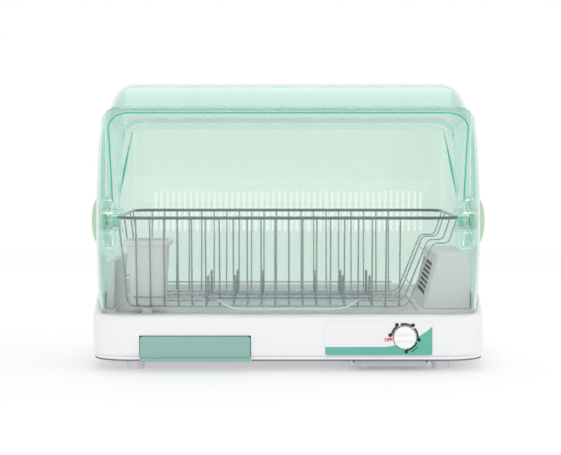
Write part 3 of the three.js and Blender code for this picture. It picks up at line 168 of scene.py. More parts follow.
def deselect():
    leave()
    bpy.ops.object.select_all(action="DESELECT")


def select_only(piece):
    """Leaves one piece selected and active, in object mode."""
    deselect()
    piece.select_set(True)
    bpy.context.view_layer.objects.active = piece


def named(name):
    """The active piece, with its name and its mesh's name set."""
    piece = bpy.context.active_object
    piece.name = name
    piece.data.name = name
    return piece


def pick(piece, kind, rule):
    """Goes into edit mode with only the vertices, edges or faces that follow the rule selected."""
    select_only(piece)
    bpy.ops.object.mode_set(mode="EDIT")
    bpy.ops.mesh.select_mode(type=kind)
    bpy.ops.mesh.select_all(action="DESELECT")
    bpy.ops.object.mode_set(mode="OBJECT")
    mesh = piece.data
    parts = {"VERT": mesh.vertices, "EDGE": mesh.edges, "FACE": mesh.polygons}[kind]
    for part in parts:
        part.select = bool(rule(part))
    bpy.ops.object.mode_set(mode="EDIT")


def whole(piece):
    """Goes into edit mode with everything selected."""
    select_only(piece)
    bpy.ops.object.mode_set(mode="EDIT")
    bpy.ops.mesh.select_all(action="SELECT")


print("selecting helpers ready")


# %% Drawing an outline
def trace(name, places, closed=False):
    """An edge line through the places. Closed, it becomes one face."""
    deselect()
    bpy.ops.mesh.primitive_plane_add(size=MM, location=(0, 0, 0))
    piece = named(name)
    bpy.ops.object.mode_set(mode="EDIT")
    bpy.ops.mesh.select_mode(type="VERT")
    bpy.ops.mesh.select_all(action="SELECT")
    bpy.ops.mesh.merge(type="CENTER")
    bpy.ops.transform.translate(value=places[0])
    for before, after in zip(places, places[1:]):
        bpy.ops.mesh.extrude_region_move(TRANSFORM_OT_translate={"value": after - before})
    if closed:
        bpy.ops.mesh.select_all(action="SELECT")
        bpy.ops.mesh.edge_face_add()
    leave()
    return piece


def filleted(corners, radii, steps=8):
    """An outline in two axes with each corner turned into an arc. A radius of 0 keeps it sharp."""
    outline = []
    for i, corner in enumerate(corners):
        radius = radii[i] if isinstance(radii, (list, tuple)) else radii
        here = Vector(corner)
        if radius == 0:
            outline.append(here)
            continue
        into = (Vector(corners[i - 1]) - here).normalized()
        onward = (Vector(corners[(i + 1) % len(corners)]) - here).normalized()
        half = into.angle(onward) / 2
        centre = here + (into + onward).normalized() * radius / math.sin(half)
        first = here + into * radius / math.tan(half) - centre
        last = here + onward * radius / math.tan(half) - centre
        turn = first.angle(last)
        for k in range(steps + 1):
            share = k / steps
            outline.append(
                centre + (first * math.sin((1 - share) * turn) + last * math.sin(share * turn)) / math.sin(turn)
            )
    return outline


def plan_rect(x0, x1, y0, y1, radius, steps=8):
    return filleted([(x0, y0), (x1, y0), (x1, y1), (x0, y1)], radius, steps)


print("a rounded square has", len(plan_rect(0, 10, 0, 10, 2)), "points")


# %% Prisms, turned bodies and lofts
AXES = {"x": lambda u, v, w: at(w, u, v), "y": lambda u, v, w: at(u, w, v), "z": lambda u, v, w: at(u, v, w)}


def tidy_faces(piece):
    """Merges doubles and turns every face outwards."""
    whole(piece)
    bpy.ops.mesh.remove_doubles(threshold=1e-6)
    bpy.ops.mesh.normals_make_consistent(inside=False)
    leave()
    return piece


def prism(name, outline, axis, low, high):
    """An outline drawn square to an axis and extruded along it."""
    place = AXES[axis]
    piece = trace(name, [place(u, v, low) for u, v in outline], closed=True)
    whole(piece)
    along = place(0, 0, high) - place(0, 0, low)
    bpy.ops.mesh.extrude_region_move(TRANSFORM_OT_translate={"value": along})
    return tidy_faces(piece)


def turned(name, profile, axis, u, v, steps=48):
    """A body of revolution. The profile holds pairs of radius and place along the axis, closed on itself."""
    place = AXES[axis]
    spin_axis = {"x": (1, 0, 0), "y": (0, 1, 0), "z": (0, 0, 1)}[axis]
    line = [place(u, v + r, w) if axis != "z" else place(u + r, v, w) for r, w in profile]
    piece = trace(name, line)
    whole(piece)
    bpy.ops.mesh.spin(steps=steps, angle=math.tau, center=place(u, v, 0), axis=spin_axis)
    tidy_faces(piece)
    whole(piece)
    bpy.ops.mesh.dissolve_limited(angle_limit=math.radians(0.05))
    leave()
    return piece


def disc(name, radius, low, high, axis, u, v, steps=48):
    """A plain round bar between two places along an axis."""
    return turned(name, [(0, low), (radius, low), (radius, high), (0, high)], axis, u, v, steps)


def loft(name, loops, caps=True):
    """A skin over closed section lines that all have the same number of places.
    The last section is extruded in place, and its new points are then set on the next section."""
    piece = trace(name, loops[0], closed=True)
    whole(piece)
    bpy.ops.mesh.delete(type="ONLY_FACE")
    bpy.ops.mesh.select_mode(type="EDGE")
    bpy.ops.mesh.select_all(action="SELECT")
    for before, after in zip(loops, loops[1:]):
        bpy.ops.mesh.extrude_edges_move()
        leave()
        for point in [point for point in piece.data.vertices if point.select]:
            nearest = min(range(len(before)), key=lambda i: (before[i] - point.co).length_squared)
            point.co = after[nearest]
        piece.data.update()
        bpy.ops.object.mode_set(mode="EDIT")
    if caps:
        bpy.ops.mesh.select_all(action="SELECT")
        bpy.ops.mesh.fill_holes(sides=0)
    return tidy_faces(piece)


def join(name, pieces):
    """Makes one piece of several."""
    select_only(pieces[0])
    for piece in pieces[1:]:
        piece.select_set(True)
    if len(pieces) > 1:
        bpy.ops.object.join()
    return named(name)


print("shaping helpers ready")


# %% Modifiers
def modify(piece, kind, **settings):
    """Adds a modifier, sets it and applies it."""
    select_only(piece)
    bpy.ops.object.modifier_add(type=kind)
    modifier = piece.modifiers[-1]
    for setting, value in settings.items():
        setattr(modifier, setting, value)
    bpy.ops.object.modifier_apply(modifier=modifier.name)
    return piece


def boolean(piece, cutter, operation="DIFFERENCE"):
    """Cuts, joins or keeps what two closed pieces share. The cutter is used up."""
    modify(piece, "BOOLEAN", operation=operation, object=cutter, solver="EXACT")
    bpy.data.objects.remove(cutter)
    return piece


def soften(piece, width, segments=3, angle=30):
    """Rounds every edge that is sharper than the angle."""
    return modify(
        piece,
        "BEVEL",
        width=width * MM,
        segments=segments,
        limit_method="ANGLE",
        angle_limit=math.radians(angle),
        use_clamp_overlap=True,
    )


def block(name, x0, x1, y0, y1, z0, z1):
    """A plain box, for cutting or as a start."""
    deselect()
    bpy.ops.mesh.primitive_cube_add(size=1, location=(0, 0, 0))
    piece = named(name)
    low, high = at(x0, y0, z0), at(x1, y1, z1)
    whole(piece)
    bpy.ops.transform.resize(value=high - low)
    bpy.ops.transform.translate(value=(low + high) / 2)
    leave()
    return piece


def row(piece, count, step):
    """Repeats a piece across, as one mesh."""
    return modify(
        piece,
        "ARRAY",
        count=count,
        use_relative_offset=False,
        use_constant_offset=True,
        constant_offset_displace=(step * MM, 0, 0),
    )


def copies(piece, moves):
    """The piece and copies of it, each moved by its own step, as one mesh."""
    made = []
    for move in moves:
        select_only(piece)
        bpy.ops.object.duplicate(linked=False)
        twin = bpy.context.active_object
        whole(twin)
        bpy.ops.transform.translate(value=Vector(move) * MM)
        leave()
        made.append(twin)
    name = piece.name
    bpy.data.objects.remove(piece)
    return join(name, made)


print("modifier helpers ready")


# %% Wires
WIRE = 2.25


def bent_wire(name, corners, diameter=WIRE, bend=0, closed=False, segments=5, sides=3):
    """A round wire through corner places. Each inner corner is bevelled to a bend, and the line becomes a tube."""
    piece = trace(name, [at(*corner) for corner in corners], closed=closed)
    last = len(corners) - 1
    if closed:
        whole(piece)
        bpy.ops.mesh.delete(type="ONLY_FACE")
        leave()
    if bend and (closed or last > 1):
        pick(piece, "VERT", lambda point: closed or 0 < point.index < last)
        bpy.ops.mesh.bevel(offset=bend * MM, segments=segments, affect="VERTICES")
        leave()
    select_only(piece)
    bpy.ops.object.convert(target="CURVE")
    piece = bpy.context.active_object
    piece.data.bevel_depth = diameter / 2 * MM
    piece.data.bevel_resolution = sides
    piece.data.use_fill_caps = True
    bpy.ops.object.convert(target="MESH")
    return tidy_faces(named(name))


print("wire helper ready")


# %% Finishing a piece
def open_edges(piece):
    """How many edges don't lie between exactly two faces. A closed body has none."""
    uses = {}
    for face in piece.data.polygons:
        for key in face.edge_keys:
            uses[key] = uses.get(key, 0) + 1
    return sum(count != 2 for count in uses.values())


def finish(piece, body, material, nodes, angle):
    """Smooths a piece, gives it its material, and hands it to the body that it rides on."""
    select_only(piece)
    bpy.ops.object.shade_smooth_by_angle(angle=math.radians(angle))
    modify(piece, "WEIGHTED_NORMAL", mode="FACE_AREA", weight=80, keep_sharp=True)
    piece.data.materials.clear()
    piece.data.materials.append(material)
    if nodes:
        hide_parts(*nodes)
    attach(piece, body)
    print("made", piece.name, len(piece.data.polygons), "faces,", open_edges(piece), "open edges")


def tint_faces(piece, material, rule):
    """Gives the faces that follow the rule a material of their own."""
    piece.data.materials.append(material)
    pick(piece, "FACE", rule)
    piece.active_material_index = len(piece.data.materials) - 1
    bpy.ops.object.material_slot_assign()
    leave()
    chosen = sum(face.material_index == piece.active_material_index for face in piece.data.polygons)
    print(piece.name, "has", chosen, "faces in", material.name)


# %% [markdown]
# ## Finishes
# Moulded plastic is never one flat value. A fine noise moves its roughness and height a little, and a broad one moves
# its colour by a few hundredths. That effect is one node group, placed in each plastic with its own values.

# %% Moulded surface group
moulded = bpy.data.node_groups.new("moulded surface", "ShaderNodeTree")
for socket, kind, start in (
    ("Colour", "NodeSocketColor", (0.8, 0.8, 0.8, 1)),
    ("Colour variation", "NodeSocketFloat", 0.03),
    ("Roughness", "NodeSocketFloat", 0.4),
    ("Roughness variation", "NodeSocketFloat", 0.08),
    ("Grain size", "NodeSocketFloat", 900.0),
):
    made = moulded.interface.new_socket(socket, in_out="INPUT", socket_type=kind)
    made.default_value = start
for socket, kind in (
    ("Colour", "NodeSocketColor"),
    ("Roughness", "NodeSocketFloat"),
    ("Height", "NodeSocketFloat"),
):
    moulded.interface.new_socket(socket, in_out="OUTPUT", socket_type=kind)

given = moulded.nodes.new("NodeGroupInput").outputs
group_out = moulded.nodes.new("NodeGroupOutput")
place = add_node(moulded, "TexCoord", {}).outputs["Object"]
grain = add_node(moulded, "TexNoise", {"Vector": place, "Scale": given["Grain size"], "Detail": 3}).outputs["Fac"]
broad = add_node(moulded, "TexNoise", {"Vector": place, "Scale": 9, "Detail": 2}).outputs["Fac"]
swing = calculate(moulded, "MULTIPLY", calculate(moulded, "SUBTRACT", broad, 0.5), given["Colour variation"])
bright = calculate(moulded, "ADD", swing, 1)
tinted = add_node(moulded, "VectorMath", {0: given["Colour"], "Scale": bright}, operation="SCALE")
rough = calculate(moulded, "MULTIPLY_ADD", grain, given["Roughness variation"], given["Roughness"])
fill_inputs(moulded, group_out, {"Colour": tinted.outputs["Vector"], "Roughness": rough, "Height": grain})
print("moulded surface group has", len(moulded.nodes), "nodes")


# %% Plastics and metals
def new_material(name):
    """A material with its node net and its main shader."""
    material = bpy.data.materials.new(name)
    material.use_nodes = True
    return material, material.node_tree, material.node_tree.nodes["Principled BSDF"]


def surface(name, colour, roughness, metallic=0.0, variation=0.04, grain_size=900, bump=0.04):
    """A material whose colour, roughness and bump come from the moulded surface group."""
    material, net, shader = new_material(name)
    values = {
        "Colour": (*colour, 1),
        "Colour variation": variation,
        "Roughness": roughness,
        "Roughness variation": roughness * 0.25,
        "Grain size": grain_size,
    }
    effect = add_node(net, "Group", values, node_tree=moulded).outputs
    relief = add_node(net, "Bump", {"Strength": bump, "Distance": 0.0004, "Height": effect["Height"]})
    fill_inputs(net, shader, {"Metallic": metallic, "Base Color": effect["Colour"]})
    fill_inputs(net, shader, {"Roughness": effect["Roughness"], "Normal": relief.outputs["Normal"]})
    return material


white_plastic = surface("white plastic", (0.87, 0.875, 0.885), 0.3)
plate_white = surface("plate white", (0.86, 0.86, 0.867), 0.28, variation=0.02)
knob_white = surface("knob white", (0.93, 0.93, 0.935), 0.28, variation=0.02)
grey_plastic = surface("grey plastic", (0.77, 0.725, 0.75), 0.45)
pale_green = surface("pale green plastic", (0.47, 0.645, 0.475), 0.4)
tray_green = surface("tray green plastic", (0.275, 0.475, 0.425), 0.25)
holder_white = surface("holder white plastic", (0.82, 0.78, 0.805), 0.45)
tower_white = surface("tower white plastic", (0.80, 0.77, 0.79), 0.4)
guard_white = surface("guard white plastic", (0.72, 0.74, 0.76), 0.4)
rubber = surface("pale rubber", (0.74, 0.73, 0.75), 0.7, bump=0.15)
black_plastic = surface("black plastic", (0.035, 0.036, 0.038), 0.55)
filter_grey = surface("filter mesh grey", (0.28, 0.3, 0.31), 0.8)
wire_finish = {"metallic": 1.0, "variation": 0.15, "grain_size": 300, "bump": 0.02}
chrome = surface("bright wire", (0.42, 0.42, 0.47), 0.18, **wire_finish)
# painted shade: the rim gets a darker copy of the bright wire's chrome, for its darker look
shaded_rim_chrome = surface("rim wire with painted shade", (0.15, 0.17, 0.21), 0.14, **wire_finish)
cover_grey = surface("cover grey", (0.56, 0.575, 0.63), 0.35)
steel = surface("plain steel", (0.42, 0.43, 0.44), 0.35, metallic=1.0, variation=0.1, grain_size=400, bump=0.05)
# painted shade: a dark grey for the shadowed underside at the foot of the base
underside_shade_grey = surface("painted underside shade", (0.13, 0.15, 0.18), 0.5)
edge_grey = surface("door edge grey", (0.34, 0.45, 0.48), 0.3)
lip_teal = surface("lip root teal", (0.22, 0.46, 0.47), 0.3)
tray_edge = surface("tray edge green", (0.13, 0.40, 0.34), 0.25)
band_green = surface("plate green", (0.125, 0.46, 0.37), 0.3, variation=0.02)
# painted shade: a dark brown for the shadow in the gap round the knob
knob_gap_shade = surface("painted knob gap shade", (0.10, 0.085, 0.08), 0.4, variation=0.02)
dial_black = surface("dial black", (0.012, 0.016, 0.016), 0.35, variation=0.02)
dial_teal = surface("dial teal", (0.005, 0.12, 0.13), 0.35, variation=0.02)
dial_red = surface("dial red", (0.7, 0.045, 0.05), 0.35, variation=0.02)
print("materials", len(bpy.data.materials))

# %% [markdown]
# The hood and the door are clear green plastic. Light that passes a sheet of it head-on loses a little red and blue.
# Seen along its edge it is deep teal, because the light has travelled a long way inside. A shader can't know that
# path, so Layer Weight darkens the tint where a wall turns away, and the flat sides and the cut edges have deeper
# materials. Shadow rays and diffuse rays go mostly straight through, so that the basket inside is lit as it is in the
# room. So does light that has bounced about inside the sheet, or that meets it edge-on: it is never trapped for good.


# %% Clear green plastic
TRAPPED_DEPTH = 5.5
EDGE_ON = {"From Min": 0.84, "From Max": 0.97, "To Max": 0.45}


def clear_plastic(name, facing, turned_away, pass_share=0.88, roughness=0.02, clearness=1.0):
    """A clear material with one tint where it faces the eye and another where it turns away. The pass share is how
    much of the shadow light, the trapped light and the light that meets it edge-on goes straight on."""
    material, net, shader = new_material(name)
    values = {"Roughness": roughness, "Roughness variation": roughness * 0.5, "Grain size": 60}
    effect = add_node(net, "Group", values, node_tree=moulded).outputs
    turn = add_node(net, "LayerWeight", {"Blend": 0.3}).outputs["Facing"]
    tint = add_node(net, "Mix", {"Factor": turn, "A": (*facing, 1), "B": (*turned_away, 1)}, data_type="RGBA")
    rays = add_node(net, "LightPath", {}).outputs
    shaded = calculate(net, "MAXIMUM", rays["Is Shadow Ray"], rays["Is Diffuse Ray"])
    trapped = calculate(net, "GREATER_THAN", rays["Ray Depth"], TRAPPED_DEPTH)
    edge_on = add_node(net, "MapRange", {"Value": turn, **EDGE_ON}).outputs["Result"]
    through = calculate(net, "MAXIMUM", calculate(net, "MAXIMUM", shaded, trapped), edge_on)
    solidity = calculate(net, "MULTIPLY_ADD", through, -pass_share, 1.0)
    fill_inputs(net, shader, {"Transmission Weight": clearness, "IOR": 1.4, "Alpha": solidity})
    fill_inputs(net, shader, {"Base Color": tint.outputs["Result"], "Roughness": effect["Roughness"]})
    return material


SHEET = (0.785, 0.885, 0.835)
clear_green = clear_plastic("clear green plastic", SHEET, (0.52, 0.79, 0.70))
side_green = clear_plastic("clear green side", SHEET, (0.28, 0.685, 0.585))
rim_green = clear_plastic("clear green rim", (0.50, 0.78, 0.68), (0.36, 0.70, 0.58))
lip_clear = clear_plastic("clear lip", (0.89, 0.92, 0.93), (0.78, 0.86, 0.87))
step_clear = clear_plastic("clear step", (0.97, 0.99, 0.98), (0.9, 0.96, 0.94))
lip_pale = clear_plastic("pale lip edge", (0.80, 0.84, 0.84), (0.66, 0.74, 0.74), 0.5, 0.2, 0.4)
edge_green = clear_plastic("clear green edge", (0.02, 0.64, 0.50), (0.02, 0.56, 0.43), 0.4, 0.3, 0.05)
print("clear materials", clear_green.name, edge_green.name)

# %% [markdown]
# ## Floor
# The floor is a pale sheet that only has to catch the machine's soft shadow. It shines a little, more so far away,
# so that it ends in the same white as the room and lights the machine's foot from below, as white paper does.

# %% Floor
deselect()
bpy.ops.mesh.primitive_plane_add(size=60, location=(0, 22, 0))
floor = named("floor")
select_only(floor)
bpy.ops.object.transform_apply(location=True, rotation=True, scale=True)
floor_material, net, shader = new_material("pale floor")
place = add_node(net, "TexCoord", {}).outputs["Object"]
distance = add_node(net, "VectorMath", {0: place}, operation="LENGTH").outputs["Value"]
fade = {"Value": distance, "From Min": 0.7, "From Max": 2.6}
paper = add_node(net, "MapRange", {**fade, "To Min": 0.78, "To Max": 0.0}).outputs["Result"]
own_light = add_node(net, "MapRange", {**fade, "To Min": 0.24, "To Max": 1.0}).outputs["Result"]
fill_inputs(net, shader, {"Roughness": 0.9, "Specular IOR Level": 0.0, "Base Color": paper})
fill_inputs(net, shader, {"Emission Color": (1, 1, 1, 1), "Emission Strength": own_light})
floor.data.materials.append(floor_material)
print("floor", floor.dimensions)

# %% [markdown]
# ## Base housing
# The base is one white moulding. Its rim is low in front, rises in an S on both sides and is high behind.
# A box with bevels can't follow that line, so the housing is lofted: a closed section line runs round the plan and
# takes its height from the rim's rule, and the sections lead up the wall, over the rim and down to the pan's ledge.

# %% Rim line
HALF_BASE = 273.5
BASE_FRONT = -205.0
BASE_BACK = 180.0
BASE_CORNER = 52.0
HOUSING_BOTTOM = 21.3
FRONT_RIM = 77.0
SIDE_RIM = 100.0
RISE_FRONT = -165
RISE_LENGTH = 60
RISE_BACK = RISE_FRONT + RISE_LENGTH
RISE_STEPS = 16
KNOB_X = 160.0
KNOB_Z = 48.3


def rim_height(y):
    """Low in front of the rise, high behind it, with an S between."""
    share = min(max((y - RISE_FRONT) / RISE_LENGTH, 0), 1)
    return FRONT_RIM + (SIDE_RIM - FRONT_RIM) * share * share * (3 - 2 * share)


def base_section(side, front, back, corner, height):
    """A closed line round the plan, drawn in by three insets. The height is a number, or a rule of the place's y."""
    rule = height if callable(height) else lambda y: height
    x0, x1 = -HALF_BASE + side, HALF_BASE - side
    y0, y1 = BASE_FRONT + front, BASE_BACK - back
    corners = plan_rect(x0, x1, y0, y1, corner, 12)
    line = []
    for i, point in enumerate(corners):
        line.append(point)
        following = corners[(i + 1) % len(corners)]
        if (following - point).length > 30 and abs(following.x - point.x) < 1:
            front_end = min(point.y, following.y)
            places = [front_end + RISE_LENGTH / RISE_STEPS * (k + 1) for k in range(RISE_STEPS)]
            if following.y < point.y:
                places = places[::-1]
            line.extend(Vector((point.x, y)) for y in places)
    return [at(point.x, point.y, rule(point.y)) for point in line]


def even_section(inset, height):
    """The same inset all round."""
    return base_section(inset, inset, inset, BASE_CORNER - inset, height)


print("section has", len(base_section(0, 0, 0, BASE_CORNER, rim_height)), "places")

# %% Housing
PAN_LEDGE = 73.5
LEDGE_UNDERSIDE = 70.5
INNER_SIDE, INNER_FRONT, INNER_BACK, INNER_CORNER = 5.5, 27, 22, 46.5
WALL = 3


def edge_drop(y):
    """The rim's outer edge is rounder in front than at the sides and behind."""
    return 7 if y < -150 else 3 + 4 * max(0, min(1, (RISE_BACK - y) / 45))


wall_foot = even_section(2.6, HOUSING_BOTTOM)
loops = [wall_foot]
for inset, rise in ((1.6, 1.2), (0.8, 3.2), (0.25, 5.7), (0, 8.7)):
    loops.append(even_section(inset, HOUSING_BOTTOM + rise))
for k in range(7):
    turn = k / 6 * math.pi / 2
    inset_front = 7 * (1 - math.cos(turn))
    inset_side = 3 * (1 - math.cos(turn))
    drop = 1 - math.sin(turn)
    rule = lambda y: rim_height(y) - drop * edge_drop(y)
    loops.append(base_section(inset_side, inset_front, inset_side, BASE_CORNER - inset_side, rule))
for k in range(4):
    turn = k / 3 * math.pi / 2
    drop = 1.5 * (1 - math.cos(turn))
    reach = 1.5 * (1 - math.sin(turn))
    insets = (INNER_SIDE - reach, INNER_FRONT - reach, INNER_BACK - reach, INNER_CORNER + reach)
    loops.append(base_section(*insets, lambda y: rim_height(y) - drop))
for inwards, height in ((0, PAN_LEDGE), (13, PAN_LEDGE), (13, LEDGE_UNDERSIDE)):
    insets = (INNER_SIDE + inwards, INNER_FRONT + inwards, INNER_BACK + inwards, INNER_CORNER - inwards)
    loops.append(base_section(*insets, height))
loops += [even_section(WALL, LEDGE_UNDERSIDE), even_section(WALL, HOUSING_BOTTOM)]
housing = loft("base_housing_shell", loops + [wall_foot], caps=False)
print("housing skin", len(housing.data.polygons), "faces,", open_edges(housing), "open edges")

# %% [markdown]
# The hood sits in a slot of the rim, and behind it the rim dips between the corners, so that the hood's lower edge
# shows. The front wall is open for the drip tray and the timer's shaft, and the back wall for the cord gland.

# %% Openings in the housing
SEAT_FLOOR = 89.4
boolean(housing, block("hood seat cut", -262.6, 262.6, 160.4, 165.6, SEAT_FLOOR, 106))
boolean(housing, prism("rim dip", [(-246, 106), (-236, SEAT_FLOOR), (236, SEAT_FLOOR), (246, 106)], "y", 155, 186))
boolean(housing, block("tray cut", -204.8, -51.2, -211, -196, 15.3, 50.3))
boolean(housing, disc("shaft cut", 4.5, -211, -196, "y", KNOB_X, KNOB_Z, 32))
boolean(housing, disc("gland cut", 8.3, 171, 186, "y", 205, 46, 32))
finish(housing, "base", white_plastic, ["base_housing"], 28)

# %% [markdown]
# A dark strip of painted shade runs round the foot of the base, just above the lower edge of the bottom plate, where
# the underside falls into shadow. It is a flat ring of four sections, and it stops on both sides of the drip tray,
# which slides through there.

# %% Painted shade at the foot
# A flat strip of painted shade, not a real joint.
underside_shade_line = [(2.5, 16.9), (2.5, 15.0), (6.0, 15.0), (6.0, 16.9), (2.5, 16.9)]
underside_shade = loft("base_underside_shade", [even_section(inset, height) for inset, height in underside_shade_line], caps=False)
boolean(underside_shade, block("tray gap", -205, -51, -211, -190, 10, 30))
finish(underside_shade, "base", underside_shade_grey, [], 30)

# %% [markdown]
# ## Bottom plate and feet
# The bottom plate shows as a thin lip under the housing. The CAD plate has the right openings, rails and guides, so it
# stays and only gets its material. Each foot is a cup with a narrower soft pad, turned from one profile.

# %% Feet
foot_profile = [
    (0, 0), (10.2, 0), (11.4, 0.5), (12.0, 1.6), (12.1, 6.6), (12.4, 7.0), (13.0, 7.2), (13.4, 7.6), (13.5, 8.3),
    (13.5, 15.2), (4, 15.2), (4, 19.8), (0, 19.8),
]
for end, y in (("front", -170), ("back", 140)):
    for side, x in (("left", -213), ("right", 213)):
        foot = turned(f"foot_{end}_{side}_cup", foot_profile, "z", x, y, 40)
        finish(foot, "base", rubber, [f"foot_{end}_{side}"], 40)

# %% [markdown]
# ## Left guard and air tower
# Both stand on the pan behind the door. They are thin mouldings with rounded front edges, so each starts as a prism
# of its front outline, its edges are bevelled, and a smaller prism hollows it from below.


# %% Left guard
STAND_FRONT = -95
STAND_BACK = 92
STAND_FOOT = 77.1


def standing(name, outline, inner, edge, wall):
    """A hollow moulding that stands on the pan and is open below."""
    piece = soften(prism(name, outline, "y", STAND_FRONT, STAND_BACK), edge, 4, 50)
    boolean(piece, prism("hollow", inner, "y", STAND_FRONT + wall, STAND_BACK - wall))
    boolean(piece, block("below", -280, 280, -110, 110, 40, STAND_FOOT))
    return piece


guard = standing(
    "left_guard_wall",
    filleted([(-268.4, 68), (-252.0, 68), (-249, 145), (-258, 145)], [0, 0, 2.5, 2.5], 4),
    [(-266.4, 60), (-254.0, 60), (-251, 143), (-256, 143)],
    2.4,
    2,
)
finish(guard, "base", guard_white, ["left_guard"], 40)

# %% Air tower
tower = standing(
    "air_tower_shell",
    filleted([(191.8, 68), (267.0, 68), (262, 157), (214, 157)], [0, 0, 13, 6], 8),
    filleted([(194.3, 60), (264.8, 60), (259.5, 154.5), (215.6, 154.5)], [0, 0, 10, 4], 6),
    5.5,
    2.5,
)
slope = Vector((20, 79.9)).normalized()


def on_slope(along, out):
    """A place on the tower's slanted face: how far up it, and how far out of it."""
    return (194 + slope.x * along - slope.y * out, STAND_FOOT + slope.y * along + slope.x * out)


window = [on_slope(12, 6), on_slope(70, 6), on_slope(70, -9), on_slope(12, -9)]
boolean(tower, prism("window", window, "y", -80, 77))
finish(tower, "base", tower_white, ["air_tower"], 40)


# %% Outlet grille
def slat(name, low, high, deep, proud, front, back):
    outline = [on_slope(low, proud), on_slope(high, proud), on_slope(high, deep), on_slope(low, deep)]
    return prism(name, outline, "y", front, back)


grille = slat("outlet_grille_frame", 12.3, 69.7, -3, 1.5, -79.7, 76.7)
boolean(grille, slat("inner", 16.3, 65.7, -9, 7.5, -75.7, 72.7))
soften(grille, 0.6, 2)
slats = [slat(f"slat_{k}", 22.9 + 7.06 * k, 24.5 + 7.06 * k, -3, 0, -77.7, 74.7) for k in range(6)]
grille = join("outlet_grille_frame", [grille, *slats])
finish(grille, "base", tower_white, ["outlet_grille"], 40)

# %% [markdown]
# ## Door and hood
# Both are cut from drums that share the pivot axis: the sides widen towards the hub and the rim is a rounded edge.
# A profile is spun round the axis once for the outside and once for the inside, the inside is taken away, and what
# the door or hood keeps of the shell is the part that it shares with a side outline.


# %% Drum
HUB_RADIUS = 38.0
PROFILE_HUB = HUB_RADIUS - 2
DOOR_RADIUS, DOOR_HALF, DOOR_HUB_HALF, DOOR_CORNER = 216, 265, 277.5, 30
DOME_RADIUS, DOME_HALF, DOME_HUB_HALF, DOME_CORNER = 204, 258.8, 262.8, 33
DOOR_TOP_ANGLE = 51
HOOD_WALL = 2.5
HOOD_SIDE, HOOD_BACK, HOOD_CORNER = 269, 165, 28
OUTSIDE = 284
FAR = 432
DRUM_STEPS = 160


def drum(name, radius, half_width, hub_half_width, corner):
    """A solid drum on the pivot axis: wide at the hub, narrower at the rim, with a rounded edge."""
    half = []
    for k in range(11):
        turn = k / 10 * math.pi / 2
        half.append((radius - corner + corner * math.sin(turn), half_width - corner + corner * math.cos(turn)))
    right = [(0, hub_half_width), (PROFILE_HUB, hub_half_width), *half]
    left = [(r, -x) for r, x in reversed(right)]
    return turned(name, right + left, "x", 0, PIVOT_HEIGHT, DRUM_STEPS)


def door_drum(name, inset):
    return drum(name, DOOR_RADIUS - inset, DOOR_HALF - inset, DOOR_HUB_HALF - inset, DOOR_CORNER - inset)


def dome_drum(name, inset):
    return drum(name, DOME_RADIUS - inset, DOME_HALF - inset, DOME_HUB_HALF - inset, DOME_CORNER - inset)


def ray(angle, reach):
    """A place in side view, by its angle up from the front and its distance from the pivot axis."""
    turn = math.radians(angle)
    return (-math.cos(turn) * reach, PIVOT_HEIGHT + math.sin(turn) * reach)


def side_prism(name, outline):
    """A side outline drawn right across the machine."""
    return prism(name, outline, "x", -OUTSIDE, OUTSIDE)


def hub_disc(name, radius, steps=64):
    return disc(name, radius, -OUTSIDE, OUTSIDE, "x", 0, PIVOT_HEIGHT, steps)


def add_bosses(piece, inner, outer):
    """Joins a round boss to both sides at the pivot."""
    for side in (-1, 1):
        boolean(piece, disc("boss", 20, side * inner, side * outer, "x", 0, PIVOT_HEIGHT), "UNION")


print("door's top edge at", ray(DOOR_TOP_ANGLE, DOOR_RADIUS))

# %% Door panel
door = door_drum("front_door_panel", 0)
boolean(door, door_drum("inside", 3))
DOOR_GAP = 0.8
BEYOND = 420
rim_stops = [RISE_BACK - 2.5 * k for k in range(25)]
corner_ray = ray(DOOR_TOP_ANGLE, BEYOND)
region = [(-1, PIVOT_HEIGHT), (-1, SIDE_RIM + DOOR_GAP)]
region += [(y, rim_height(y) + DOOR_GAP) for y in rim_stops]
region += [(-BEYOND, FRONT_RIM + DOOR_GAP), (-BEYOND, corner_ray[1]), corner_ray, (0, PIVOT_HEIGHT)]
keep = side_prism("keep", region)
boolean(keep, hub_disc("hub", HUB_RADIUS), "UNION")
boolean(door, keep, "INTERSECT")
print("door panel", len(door.data.polygons), "faces")

# %% [markdown]
# The finger lip is a thin blade that leans out of the door's lower front, straight at its root and curved at its
# edge. It is drawn flat, extruded, turned about its root and joined to the door.

# %% Finger lip
LIP_HALF = 98
LIP_HEIGHT = 98
LIP_THICKNESS = 2.6
LIP_LEAN = 38
curve = [(LIP_HALF, 0), (86, 9.4), (82, 18.8), (58, 18.8)]
weights = (1, 3, 3, 1)
lip_points = [(-LIP_HALF, -2.2), (LIP_HALF, -2.2), (LIP_HALF, 0)]
for k in range(1, 13):
    share = k / 12
    pulls = [weights[n] * (1 - share) ** (3 - n) * share ** n for n in range(4)]
    lip_points.append(tuple(sum(pull * point[i] for pull, point in zip(pulls, curve)) for i in range(2)))
lip_points += [(-x, y) for x, y in reversed(lip_points[2:])]
lip = prism("finger_lip", lip_points, "z", -LIP_THICKNESS / 2, LIP_THICKNESS / 2)
soften(lip, 0.9, 3, 60)
lip_back = -math.sqrt(DOOR_RADIUS ** 2 - (PIVOT_HEIGHT - LIP_HEIGHT) ** 2)
lip_turn = -math.radians(180 + LIP_LEAN)
whole(lip)
bpy.ops.transform.translate(value=(0, -PIVOT_BACK * MM, 0))
bpy.ops.transform.rotate(value=lip_turn, orient_axis="X", orient_type="GLOBAL", center_override=(0, 0, 0))
bpy.ops.transform.translate(value=at(0, lip_back, LIP_HEIGHT))
leave()
boolean(door, lip, "UNION")
add_bosses(door, 268.6, 276)
boolean(door, hub_disc("bore", 10.6, 40))
print("door", len(door.data.polygons), "faces")

